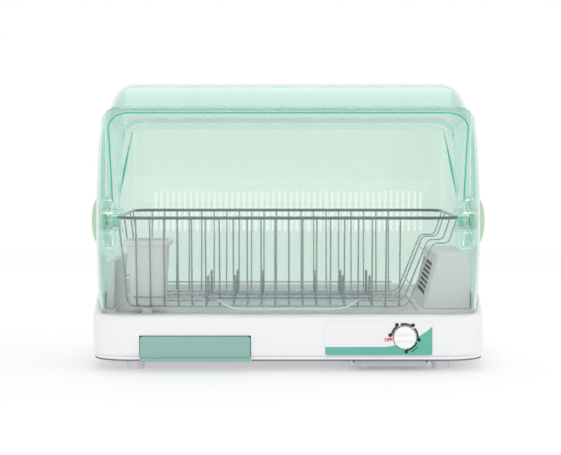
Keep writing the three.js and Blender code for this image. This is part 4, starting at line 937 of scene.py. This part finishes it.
# %% Deeper green on cut edges
top_turn = math.radians(DOOR_TOP_ANGLE)
top_normal = Vector((0, math.sin(top_turn), math.cos(top_turn)))
lip_normal = Vector((0, math.sin(math.radians(LIP_LEAN)), -math.cos(math.radians(LIP_LEAN))))
pivot = at(0, 0, PIVOT_HEIGHT)
LOW_EDGE = 0.102


def on_lip(face):
    """True for the blade that stands out of the drum."""
    return (face.center - pivot).yz.length > (DOOR_RADIUS + 0.3) * MM and face.center.z < LOW_EDGE


def lip_rim(face):
    """True for the blade's thin rounded rim."""
    return on_lip(face) and abs(face.normal.dot(lip_normal)) < 0.97


def on_plane(face, distance, tolerance):
    """True for a face that lies this far out, in millimetres, along the normal of the door's top edge."""
    away = (face.center - pivot).dot(top_normal)
    return abs(away - distance * MM) < tolerance * MM and abs(face.normal.dot(top_normal)) > 0.9


def on_cut(face):
    """True for the door's top edge and bottom edge."""
    low = face.normal.z < -0.75 and face.center.z < LOW_EDGE and not on_lip(face)
    return low or (on_plane(face, 0, 0.08) and face.normal.dot(top_normal) > 0)


def on_side(face):
    """True for the flat sides, which the camera sees nearly edge-on."""
    return abs(face.normal.x) > 0.95


finish(door, "door", clear_green, ["front_door"], 30)
for tint, rule in ((side_green, on_side), (rim_green, on_cut), (lip_clear, on_lip), (lip_pale, lip_rim)):
    tint_faces(door, tint, rule)

# %% [markdown]
# Two beads finish the door. A cool grey one runs round its bottom edge, where the wall is thickened, and a teal one
# lies along the root of the lip. Both are thin lines traced through places on the drum and given a round section.


# %% Door beads
def half_width_at(radius, inset):
    """Half the drum's width at a distance from the pivot axis, for a surface that lies that far inside."""
    bend = DOOR_RADIUS - DOOR_CORNER
    if radius <= bend:
        taper = (DOOR_HUB_HALF - DOOR_HALF) * (radius - PROFILE_HUB) / (bend - PROFILE_HUB)
        return DOOR_HUB_HALF - inset - taper
    return DOOR_HALF - DOOR_CORNER + math.sqrt(max((DOOR_CORNER - inset) ** 2 - (radius - bend) ** 2, 0))


def on_wall(y, z, inset):
    return (half_width_at(math.hypot(y, z - PIVOT_HEIGHT), inset), y, z)


EDGE_INSET = 1.5
bead_z = FRONT_RIM + EDGE_INSET
front_y = -math.sqrt((DOOR_RADIUS - EDGE_INSET) ** 2 - (PIVOT_HEIGHT - bead_z) ** 2)
turn_places = [front_y + (RISE_BACK - front_y) * k / 24 for k in range(25)]
right_end = [on_wall(y, rim_height(y) + EDGE_INSET, EDGE_INSET) for y in turn_places]
edge_line = [(-x, y, z) for x, y, z in reversed(right_end)] + right_end
edge_bead = bent_wire("door_edge_bead", edge_line, 1.5)
finish(edge_bead, "door", edge_grey, [], 60)
lip_root = [(x, lip_back, LIP_HEIGHT + 0.2) for x in (-97, 97)]
lip_bead = bent_wire("door_lip_bead", lip_root, 2.2)
finish(lip_bead, "door", lip_teal, [], 60)

# %% [markdown]
# The hood has a rear shell of the door's own size and a smaller dome that tucks under the door, with a flange along
# its front edge. A flat back wall with a vent grille closes it. Each form is the drum again, cut by its own outline.

# %% Hood outlines
SHOULDER_ANGLE = 133
HUB_GAP_RADIUS = 40
shoulder = math.radians(SHOULDER_ANGLE)
shoulder_line = Vector((-math.cos(shoulder), math.sin(shoulder)))
shoulder_normal = Vector((shoulder_line.y, -shoulder_line.x))


def behind(inset, front):
    """The side outline of the hood's rear part, behind the shoulder."""
    start = shoulder_normal * inset
    tip = shoulder_line * FAR + start
    outline = [start, (front, start.y), (front, -FAR), (FAR, -FAR), (FAR, shoulder_line.y * FAR), tip]
    return [(p[0], p[1] + PIVOT_HEIGHT) for p in outline]


def back_plan(name, inset):
    """The hood's plan: flat behind, with rounded back corners."""
    side, back, corner = HOOD_SIDE - inset, HOOD_BACK - inset, HOOD_CORNER - inset
    start = HOOD_BACK - 2 * HOOD_CORNER
    outline = filleted(
        [(-OUTSIDE, -FAR), (OUTSIDE, -FAR), (OUTSIDE, start), (side, start), (side, back), (-side, back),
         (-side, start), (-OUTSIDE, start)],
        [0, 0, 0, 0, corner, corner, 0, 0],
        10,
    )
    return prism(name, outline, "z", -FAR, 640)


def rear_part(name, inset, front):
    piece = door_drum(name, inset)
    boolean(piece, side_prism("behind", behind(inset, front)), "INTERSECT")
    boolean(piece, back_plan("plan", inset), "INTERSECT")
    boolean(piece, hub_disc("hub", HUB_GAP_RADIUS + inset))
    return piece


print("shoulder runs along", tuple(shoulder_line))

# %% Hood solid
FLANGE_SETBACK = 0.15
hood = rear_part("rear_hood_shell", 0, 1.5)
axis_place = Vector((0, PIVOT_HEIGHT))
dome = dome_drum("dome", 0)
fan_outline = [axis_place, ray(DOOR_TOP_ANGLE, FAR), (0, PIVOT_HEIGHT + FAR), ray(SHOULDER_ANGLE + 1, FAR)]
fan = side_prism("fan", fan_outline)
boolean(fan, hub_disc("hub", HUB_RADIUS), "UNION")
boolean(dome, fan, "INTERSECT")
flange = door_drum("flange", 4.5)
flange_normal = Vector(ray(DOOR_TOP_ANGLE + 90, HOOD_WALL)) - axis_place
root = Vector(ray(DOOR_TOP_ANGLE + 90, FLANGE_SETBACK))
tip = root + Vector(ray(DOOR_TOP_ANGLE, FAR)) - axis_place
band = side_prism("band", [root, tip, tip + flange_normal, root + flange_normal])
boolean(band, hub_disc("hub", HUB_GAP_RADIUS))
boolean(flange, band, "INTERSECT")
boolean(hood, dome, "UNION")
boolean(hood, flange, "UNION")
print("hood solid", len(hood.data.polygons), "faces")

# %% [markdown]
# The hollow has the same rounded back corners as the outside, drawn in by one wall, so that the wall stays whole round
# the corner. The foot is cut off at the rim, but for a tongue behind that drops into the housing's slot.

# %% Hood hollow, foot and vents
VENT_COUNT = 46
VENT_SPAN = 422
VENT_WIDTH = 4.4
boolean(hood, rear_part("rear hollow", HOOD_WALL, -6))
cabin = dome_drum("cabin", HOOD_WALL)
boolean(cabin, back_plan("cabin plan", HOOD_WALL), "INTERSECT")
boolean(hood, cabin)
boolean(hood, block("foot cut", -OUTSIDE, OUTSIDE, -FAR, HOOD_BACK - 4, -FAR, SIDE_RIM + 0.3))
boolean(hood, block("deep cut", -OUTSIDE, OUTSIDE, -FAR, FAR, -FAR, SEAT_FLOOR + 0.3))
first_vent = -VENT_SPAN / 2
vent = block("vents", first_vent - VENT_WIDTH / 2, first_vent + VENT_WIDTH / 2, 156.5, 171, 175, 239)
row(vent, VENT_COUNT, VENT_SPAN / (VENT_COUNT - 1))
boolean(hood, vent)
add_bosses(hood, 261.55, 268)
boolean(hood, hub_disc("bore", 10.3, 40))
whole(hood)
bpy.ops.mesh.remove_doubles(threshold=0.02 * MM)
leave()
print("hood", len(hood.data.polygons), "faces")


# %% Tints of the hood
def hood_edge(face):
    """True for the hood's bottom edge, and for an edge that lies in the plane of the door's top edge."""
    return on_plane(face, 0, 0.08) or (face.normal.z < -0.9 and face.center.z < 0.101)


def flange_face(face):
    """True for the front of the flange that closes the gap behind the door."""
    return on_plane(face, FLANGE_SETBACK, 0.05)


def step_face(face):
    """True for the step where the dome passes under the rear shell."""
    away = (face.center - pivot).yz.dot(shoulder_normal)
    return abs(away) < 0.3 * MM and abs(face.normal.yz.dot(shoulder_normal)) > 0.9


finish(hood, "base", clear_green, ["rear_hood"], 30)
for tint, rule in ((side_green, on_side), (edge_green, hood_edge), (rim_green, flange_face), (step_clear, step_face)):
    tint_faces(hood, tint, rule)

# %% [markdown]
# Where the hood's flat back wall meets its sides, the plastic is thick and shows as a deep green line. It swells in
# the middle and thins out at both ends. It is lofted from small rings that lie on the inside of the round corner.


# %% Back corner beads
BEAD_FOOT = 231
BEAD_LENGTH = 102
BEAD_STEPS = 24
BEAD_SIDES = 8


def corner_place(height):
    """The line's place on the inside of the hood's round back corner: it leans inwards as it rises."""
    rise = height - BEAD_FOOT
    x = 266.4 - 0.1375 * rise - 0.0005 * rise ** 2
    inner = HOOD_CORNER - HOOD_WALL
    return x, HOOD_BACK - HOOD_CORNER + math.sqrt(inner ** 2 - (x - HOOD_SIDE + HOOD_CORNER) ** 2)


ring_turns = [k * math.tau / BEAD_SIDES for k in range(BEAD_SIDES)]
for side, name in SIDES:
    loops = []
    for k in range(BEAD_STEPS + 1):
        share = k / BEAD_STEPS
        height = BEAD_FOOT + BEAD_LENGTH * share
        x, y = corner_place(height)
        swell = 0.6 + 1.3 * math.sin(math.pi * share ** 0.8) ** 2
        loops.append([at(side * x + swell * math.cos(t), y + swell * math.sin(t), height) for t in ring_turns])
    bead = loft(f"rear_hood_bead_{name}", loops)
    finish(bead, "base", edge_green, [], 60)

# %% [markdown]
# ## Pivot caps and clips
# A cap is a shallow dome on a hollow shaft that passes through door and hood. A clip inside holds the shaft.

# %% Caps
CAP_RADIUS = 35.5
CAP_EDGE = 282.1
CAP_RISE = 10.9
cap_turns = [k / 12 * math.pi / 2 for k in range(12)]
dome_line = [(CAP_RADIUS * math.cos(t), CAP_EDGE + CAP_RISE * math.sin(t)) for t in cap_turns]
cap_line = [(7, 253), (10, 253), (10, 278.1), (34.7, 278.1), (CAP_RADIUS, 278.9), *dome_line]
cap_line += [(0, CAP_EDGE + CAP_RISE), (0, 281.1), (7, 281.1), (7, 253)]
for side, name in SIDES:
    cap = turned(f"pivot_cap_{name}_dome", [(r, side * x) for r, x in cap_line], "x", 0, PIVOT_HEIGHT, 64)
    finish(cap, "base", pale_green, [f"pivot_cap_{name}"], 40)
    tint_faces(cap, rim_green, lambda face: abs(face.center.x) < 278 * MM)

# %% Clips
LUG_DROP = 14
lug_line = [(0, 247.5), (3.1, 247.5), (3.6, 248), (3.6, 260), (0, 260)]
for side, name in SIDES:
    clip_name = f"pivot_clip_{name}_lugs"
    lug = turned(clip_name, [(r, side * x) for r, x in lug_line], "x", 0, PIVOT_HEIGHT - LUG_DROP, 24)
    lugs = copies(lug, [(0, 0, 0), (0, 0, 2 * LUG_DROP)])
    low, high = sorted((side * 250.3, side * 252.7))
    strap = soften(block("strap", low, high, -4, 4, PIVOT_HEIGHT - LUG_DROP, PIVOT_HEIGHT + LUG_DROP), 0.5, 2)
    finish(join(clip_name, [lugs, strap]), "base", clear_green, [f"pivot_clip_{name}"], 40)

# %% [markdown]
# ## Basket
# The basket is welded from bright round wire. A wire is a traced line whose corners are bevelled to bends and then
# given a round section, and a row of equal wires is one wire repeated by an Array modifier.

# %% Rim
RIM = 209.0
RIM_LEFT, RIM_RIGHT = -243, 241
RIM_FRONT, RIM_BACK = 135, 150
WIRE_TOP = 207.6
WIRE_BEND = 6


def finish_wire(piece, node, material=chrome):
    finish(piece, "basket", material, [node], 60)


rim_corners = [(RIM_LEFT, -RIM_FRONT), (RIM_RIGHT, -RIM_FRONT), (RIM_RIGHT, RIM_BACK), (RIM_LEFT, RIM_BACK)]
rim_line = [(x, y, RIM) for x, y in rim_corners]
# The rim's darker chrome is painted shade on the same wire finish.
finish_wire(bent_wire("basket_rim_ring", rim_line, 4.6, 30, True, 12, 4), "basket_rim", shaded_rim_chrome)

# %% Front and back wires
FLOOR_WIRE = 83.9
BOTTOM_WIRE = 81.8
FIRST_WIRE = -215.5
LAST_WIRE = 158.5
WIRE_COUNT = 20
PITCH = (LAST_WIRE - FIRST_WIRE) / (WIRE_COUNT - 1)
TIE_RISE = 12
TIE_INSET = 2.2
for direction, rim_y, floor_y, name in ((-1, RIM_FRONT, 112, "front"), (1, RIM_BACK, 127, "back")):
    heel = floor_y + 8
    places = [(rim_y, WIRE_TOP), (heel, FLOOR_WIRE), (floor_y, FLOOR_WIRE)]
    corners = [(FIRST_WIRE, direction * y, z) for y, z in places]
    upright = row(bent_wire(f"basket_{name}_uprights", corners, bend=WIRE_BEND), WIRE_COUNT, PITCH)
    lean = (rim_y - heel) * TIE_RISE / (WIRE_TOP - FLOOR_WIRE)
    tie_y = direction * (heel + lean - TIE_INSET)
    tie = bent_wire("tie", [(x, tie_y, FLOOR_WIRE + TIE_RISE) for x in (FIRST_WIRE - 5, LAST_WIRE + 5)])
    finish_wire(join(f"basket_{name}_uprights", [upright, tie]), f"basket_{name}_wires")

# %% Side wires
SIDE_PLACES = (-107, -20, 73, 122)


def side_wires(name, corners, tie_places):
    """The bent wires of one end of the basket, tied together by long straight ones."""
    first = bent_wire(name, [(x, 0, z) for x, z in corners], bend=WIRE_BEND)
    sides = copies(first, [(0, y, 0) for y in SIDE_PLACES])
    ties = [bent_wire("tie", [(x, -112, z), (x, 127, z)]) for x, z in tie_places]
    return join(name, [sides, *ties])


left_line = [(RIM_LEFT, WIRE_TOP), (-233, 125), (-231, 92), (-226, BOTTOM_WIRE), (-218.4, BOTTOM_WIRE)]
finish_wire(side_wires("basket_left_sides", left_line, [(-230.8, 125)]), "basket_left_wires")
right_line = [
    (RIM_RIGHT, WIRE_TOP), (229, 172), (207, 172), (175, 92), (168, BOTTOM_WIRE), (161.4, BOTTOM_WIRE),
]
right_ties = [(175 + 32 * (z - 92) / 80 - TIE_INSET, z) for z in (158, 108)]
finish_wire(side_wires("basket_right_steps", right_line, right_ties), "basket_right_wires")

# %% Floor wires and plate racks
RACK_WIRE = 2.1
RACK_FOOT = 86.95
RACK_TOP = 121
RACK_HALF = 15
long_line = [(FIRST_WIRE, y, FLOOR_WIRE) for y in (-111.7, 126.7)]
long_wires = row(bent_wire("basket_floor_wires", long_line), WIRE_COUNT, PITCH)
crossing = bent_wire("crossing", [(x, 0, BOTTOM_WIRE) for x in (-218.1, 161.1)])
crossings = copies(crossing, [(0, y, 0) for y in SIDE_PLACES])
finish_wire(join("basket_floor_wires", [long_wires, crossings]), "basket_floor_grid")
start = FIRST_WIRE + 5 * PITCH
for middle, node in ((-52, "plate_rack_front"), (52, "plate_rack_back")):
    front, back = middle - RACK_HALF, middle + RACK_HALF
    hoop_line = [(front, RACK_FOOT), (front, RACK_TOP), (back, RACK_TOP), (back, RACK_FOOT)]
    hoop = bent_wire(f"{node}_hoops", [(start, y, z) for y, z in hoop_line], RACK_WIRE, 9)
    row(hoop, 7, 2 * PITCH)
    ends = (start - 5, start + 12 * PITCH + 5)
    rails = [bent_wire("rail", [(x, y, RACK_FOOT) for x in ends], RACK_WIRE) for y in (front, back)]
    finish_wire(join(f"{node}_hoops", [hoop, *rails]), node)

# %% [markdown]
# ## Cutlery holder
# A tapered cup with a band round its mouth. It is lofted through rounded sections, up the outside and down the
# inside, and three slots drain its floor.


# %% Cutlery holder
HOLDER_LEFT, HOLDER_RIGHT = -231, -172
HOLDER_FRONT, HOLDER_BACK = -119.5, -48
SLOT_HALF = 2.5


def holder_section(inset, corner, height):
    """A rounded line round the cup, drawn in by an inset."""
    x0, x1 = HOLDER_LEFT + inset, HOLDER_RIGHT - inset
    outline = plan_rect(x0, x1, HOLDER_FRONT + inset, HOLDER_BACK - inset, corner, 8)
    return [at(p.x, p.y, height) for p in outline]


sections = [
    holder_section(7.0, 6, 85.75),
    holder_section(5.6, 7.4, 87.2),
    holder_section(0.43, 9, 168.6),
    holder_section(-3.4, 11, 169),
    holder_section(-4, 11.6, 169.7),
    holder_section(-4, 11.6, 175.2),
    holder_section(-3.2, 10.8, 176),
    holder_section(1.4, 9, 176),
    holder_section(2, 8.4, 175.3),
    holder_section(7.4, 5, 89.5),
    holder_section(8.9, 3.6, 87.8),
]
holder = loft("cutlery_holder_cup", sections)
for k in range(1, 4):
    x = HOLDER_LEFT + (HOLDER_RIGHT - HOLDER_LEFT) / 4 * k
    boolean(holder, block("slot", x - SLOT_HALF, x + SLOT_HALF, -104, -63.5, 80, 92))
finish(holder, "cutlery", holder_white, ["cutlery_holder"], 40)

# %% [markdown]
# ## Drip tray
# The tray is clear green like the hood, but thicker, so its front reads as a flat milky green. The front plate has
# rounded edges and a lip to pull at its foot. The box behind it is a block with its inside taken out.

# %% Drip tray
TRAY_LEFT, TRAY_RIGHT, TRAY_LOW, TRAY_TOP = -204, -52, 14.7, 49.5
TRAY_BACK_FACE = -203.9
front_outline = plan_rect(TRAY_LEFT, TRAY_RIGHT, TRAY_LOW, TRAY_TOP, 4, 6)
tray_front = prism("drip_tray_front", front_outline, "y", -207.4, TRAY_BACK_FACE)
soften(tray_front, 0.9, 3, 60)
tray_lip = prism("lip", plan_rect(TRAY_LEFT, TRAY_RIGHT, TRAY_LOW, TRAY_LOW + 5, 2.4, 5), "y", -210, -204.5)
soften(tray_lip, 0.9, 3, 60)
tray_body = block("body", -199, -57, -205.6, -59.4, 21.3, 47.3)
pick(tray_body, "EDGE", lambda edge: True)
bpy.ops.mesh.bevel(offset=2.5 * MM, segments=3)
leave()
boolean(tray_body, block("hollow", -197, -59, TRAY_BACK_FACE, -61.4, 23.3, 60))
boolean(tray_front, tray_lip, "UNION")
boolean(tray_front, tray_body, "UNION")
finish(tray_front, "tray", tray_green, ["drip_tray"], 40)
tint_faces(tray_front, tray_edge, lambda face: face.center.y < at(0, -204, 0).y and abs(face.normal.y) < 0.9)

# %% [markdown]
# ## Control plate and knob
# The plate is a thin white sheet with a green band along its foot that sweeps up at the right. The dial's dots and
# arcs are printed: each is a very thin raised shape, so that it survives in any other renderer.

# %% Control plate
PLATE_FACE = -206.5
plate = prism("control_plate_sheet", plan_rect(50.7, 198.2, 23, 70, 2, 5), "y", PLATE_FACE, PLATE_FACE + 1.2)
boolean(plate, disc("hole", 4.5, PLATE_FACE - 6, PLATE_FACE + 6, "y", KNOB_X, KNOB_Z, 32))
finish(plate, "base", plate_white, ["control_plate"], 40)

# %% Green band
sweep = [(198.0, 63.0), (190, 56.2), (180.6, 50.1), (170, 45.0), (160, 41.2), (147.4, 37.3), (140, 35.6), (131, 34.8)]
band_outline = [(50.9, 34.8), (50.9, 25), (52.9, 23.2), (196.2, 23.2), (198.0, 25)] + sweep
band_sheet = prism("control_plate_band", band_outline, "y", PLATE_FACE - 0.12, PLATE_FACE + 0.1)
finish(band_sheet, "base", band_green, [], 40)


# %% Dial
ARC_RADIUS = 18.2
DOT_RADIUS = 20


def round_knob(angle, radius):
    """A place on the plate by its angle round the knob and its distance from the knob's middle."""
    turn = math.radians(angle)
    return KNOB_X + radius * math.cos(turn), KNOB_Z + radius * math.sin(turn)


def dial_arc(name, start, end, radius, thick_start, thick_end):
    """A flat arc on the plate, by its angles round the knob, that may taper."""
    count = max(6, int(abs(end - start) / 5))
    outer, inner = [], []
    for k in range(count + 1):
        share = k / count
        angle = start + (end - start) * share
        half = (thick_start + (thick_end - thick_start) * share) / 2
        outer.append(round_knob(angle, radius + half))
        inner.append(round_knob(angle, radius - half))
    return prism(name, outer + inner[::-1], "y", PLATE_FACE - 0.22, PLATE_FACE - 0.02)


marks = [
    dial_arc("dial_arc_1", 172, 122, ARC_RADIUS, 2.6, 2.6),
    dial_arc("dial_arc_2", 108, 55, ARC_RADIUS, 3.0, 2.0),
    dial_arc("dial_arc_3", 42, -11, ARC_RADIUS, 2.3, 2.3),
    dial_arc("dial_arc_4", -24, -83, ARC_RADIUS, 2.2, 2.2),
]
for angle in (172, 122, 55, -11, -83):
    marks.append(disc("dot", 2.7, PLATE_FACE - 0.25, PLATE_FACE - 0.02, "y", *round_knob(angle, DOT_RADIUS), 24))
dial = join("dial_marks", marks)
finish(dial, "base", dial_black, [], 30)
teal = dial_arc("dial_teal_arc", -37, -65, 22.2, 1.6, 1.6)
finish(teal, "base", dial_teal, [], 30)

# %% The word OFF
deselect()
bpy.ops.object.text_add(location=(0, 0, 0))
word = bpy.context.active_object
word.name = "dial_off"
word.data.body = "OFF"
word.data.align_x = "CENTER"
word.data.align_y = "CENTER"
word.data.size = 6.0 * MM
word.data.extrude = 0.1 * MM
word.data.offset = 0.3 * MM
bpy.ops.object.convert(target="MESH")
word = bpy.context.active_object
whole(tidy_faces(word))
bpy.ops.transform.rotate(value=-math.radians(90), orient_axis="X", orient_type="GLOBAL", center_override=(0, 0, 0))
bpy.ops.transform.translate(value=at(137.6, PLATE_FACE - 0.12, 44.7))
leave()
finish(word, "base", dial_red, [], 30)
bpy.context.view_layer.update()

# %% Painted shade ring behind the knob
# A thin dark ring just outside the knob's skirt: painted shade for the gap shadow round the knob, not print.
ring_line = [(14, 0.3), (16.4, 0.3), (16.4, 0.02), (14, 0.02), (14, 0.3)]
ring = turned("knob_gap_shade_ring", [(r, PLATE_FACE - depth) for r, depth in ring_line], "y", KNOB_X, KNOB_Z, 48)
finish(ring, "base", knob_gap_shade, [], 30)

# %% Knob
KNOB_BACK = -207.1
SKIRT_RADIUS = 15.6
SKIRT_POINTS = 120
RIB_COUNT = 20
RIB_DEPTH = 0.35
GRIP_HALF_LENGTH = 14.8
GRIP_HALF_WIDTH = 3.25
skirt_line = []
for k in range(SKIRT_POINTS):
    turn = k / SKIRT_POINTS * math.tau
    reach = SKIRT_RADIUS - RIB_DEPTH * (1 - math.cos(turn * RIB_COUNT))
    skirt_line.append((KNOB_X + reach * math.cos(turn), KNOB_Z + reach * math.sin(turn)))
skirt = prism("timer_knob_body", skirt_line, "y", KNOB_BACK - 6, KNOB_BACK)
pick(skirt, "FACE", lambda face: face.normal.y < -0.9)
bpy.ops.mesh.inset(thickness=1.0 * MM, depth=0.7 * MM)
bpy.ops.mesh.inset(thickness=1.2 * MM, depth=0.2 * MM)
leave()
grip_outline = plan_rect(
    KNOB_X - GRIP_HALF_LENGTH, KNOB_X + GRIP_HALF_LENGTH, KNOB_Z - GRIP_HALF_WIDTH, KNOB_Z + GRIP_HALF_WIDTH, 2.2, 5
)
grip = prism("grip", grip_outline, "y", KNOB_BACK - 14, KNOB_BACK - 3)
soften(grip, 0.9, 3, 50)
boolean(skirt, grip, "UNION")
boolean(skirt, disc("hole", 3.3, KNOB_BACK - 8.3, KNOB_BACK + 6, "y", KNOB_X, KNOB_Z, 32))
finish(skirt, "knob", knob_white, ["timer_knob"], 40)

# %% [markdown]
# ## Pieces that stay as the CAD has them
# The blower, heater, timer body, screws, pan, spout, bottom plate and filter already have the right shape. Each gets
# the finish of what it is made of.

# %% Finishes for the CAD nodes
slot_materials = {
    "white_plastic": white_plastic,
    "grey_plastic": grey_plastic,
    "clear_green": clear_green,
    "pale_green": pale_green,
    "tray_green": tray_green,
    "chrome": chrome,
    "holder_white": holder_white,
    "rubber": rubber,
    "black_plastic": black_plastic,
    "steel": steel,
    "filter_grey": filter_grey,
}
node_slots = {part["node"]: part["material_slot"] for part in frame["record"]["subparts"]}
for name, node in frame["nodes"].items():
    chosen = cover_grey if name == "filter_cover" else slot_materials[node_slots[name]]
    for material_slot in node.material_slots:
        material_slot.material = chosen
print("dressed", len(frame["nodes"]), "nodes")
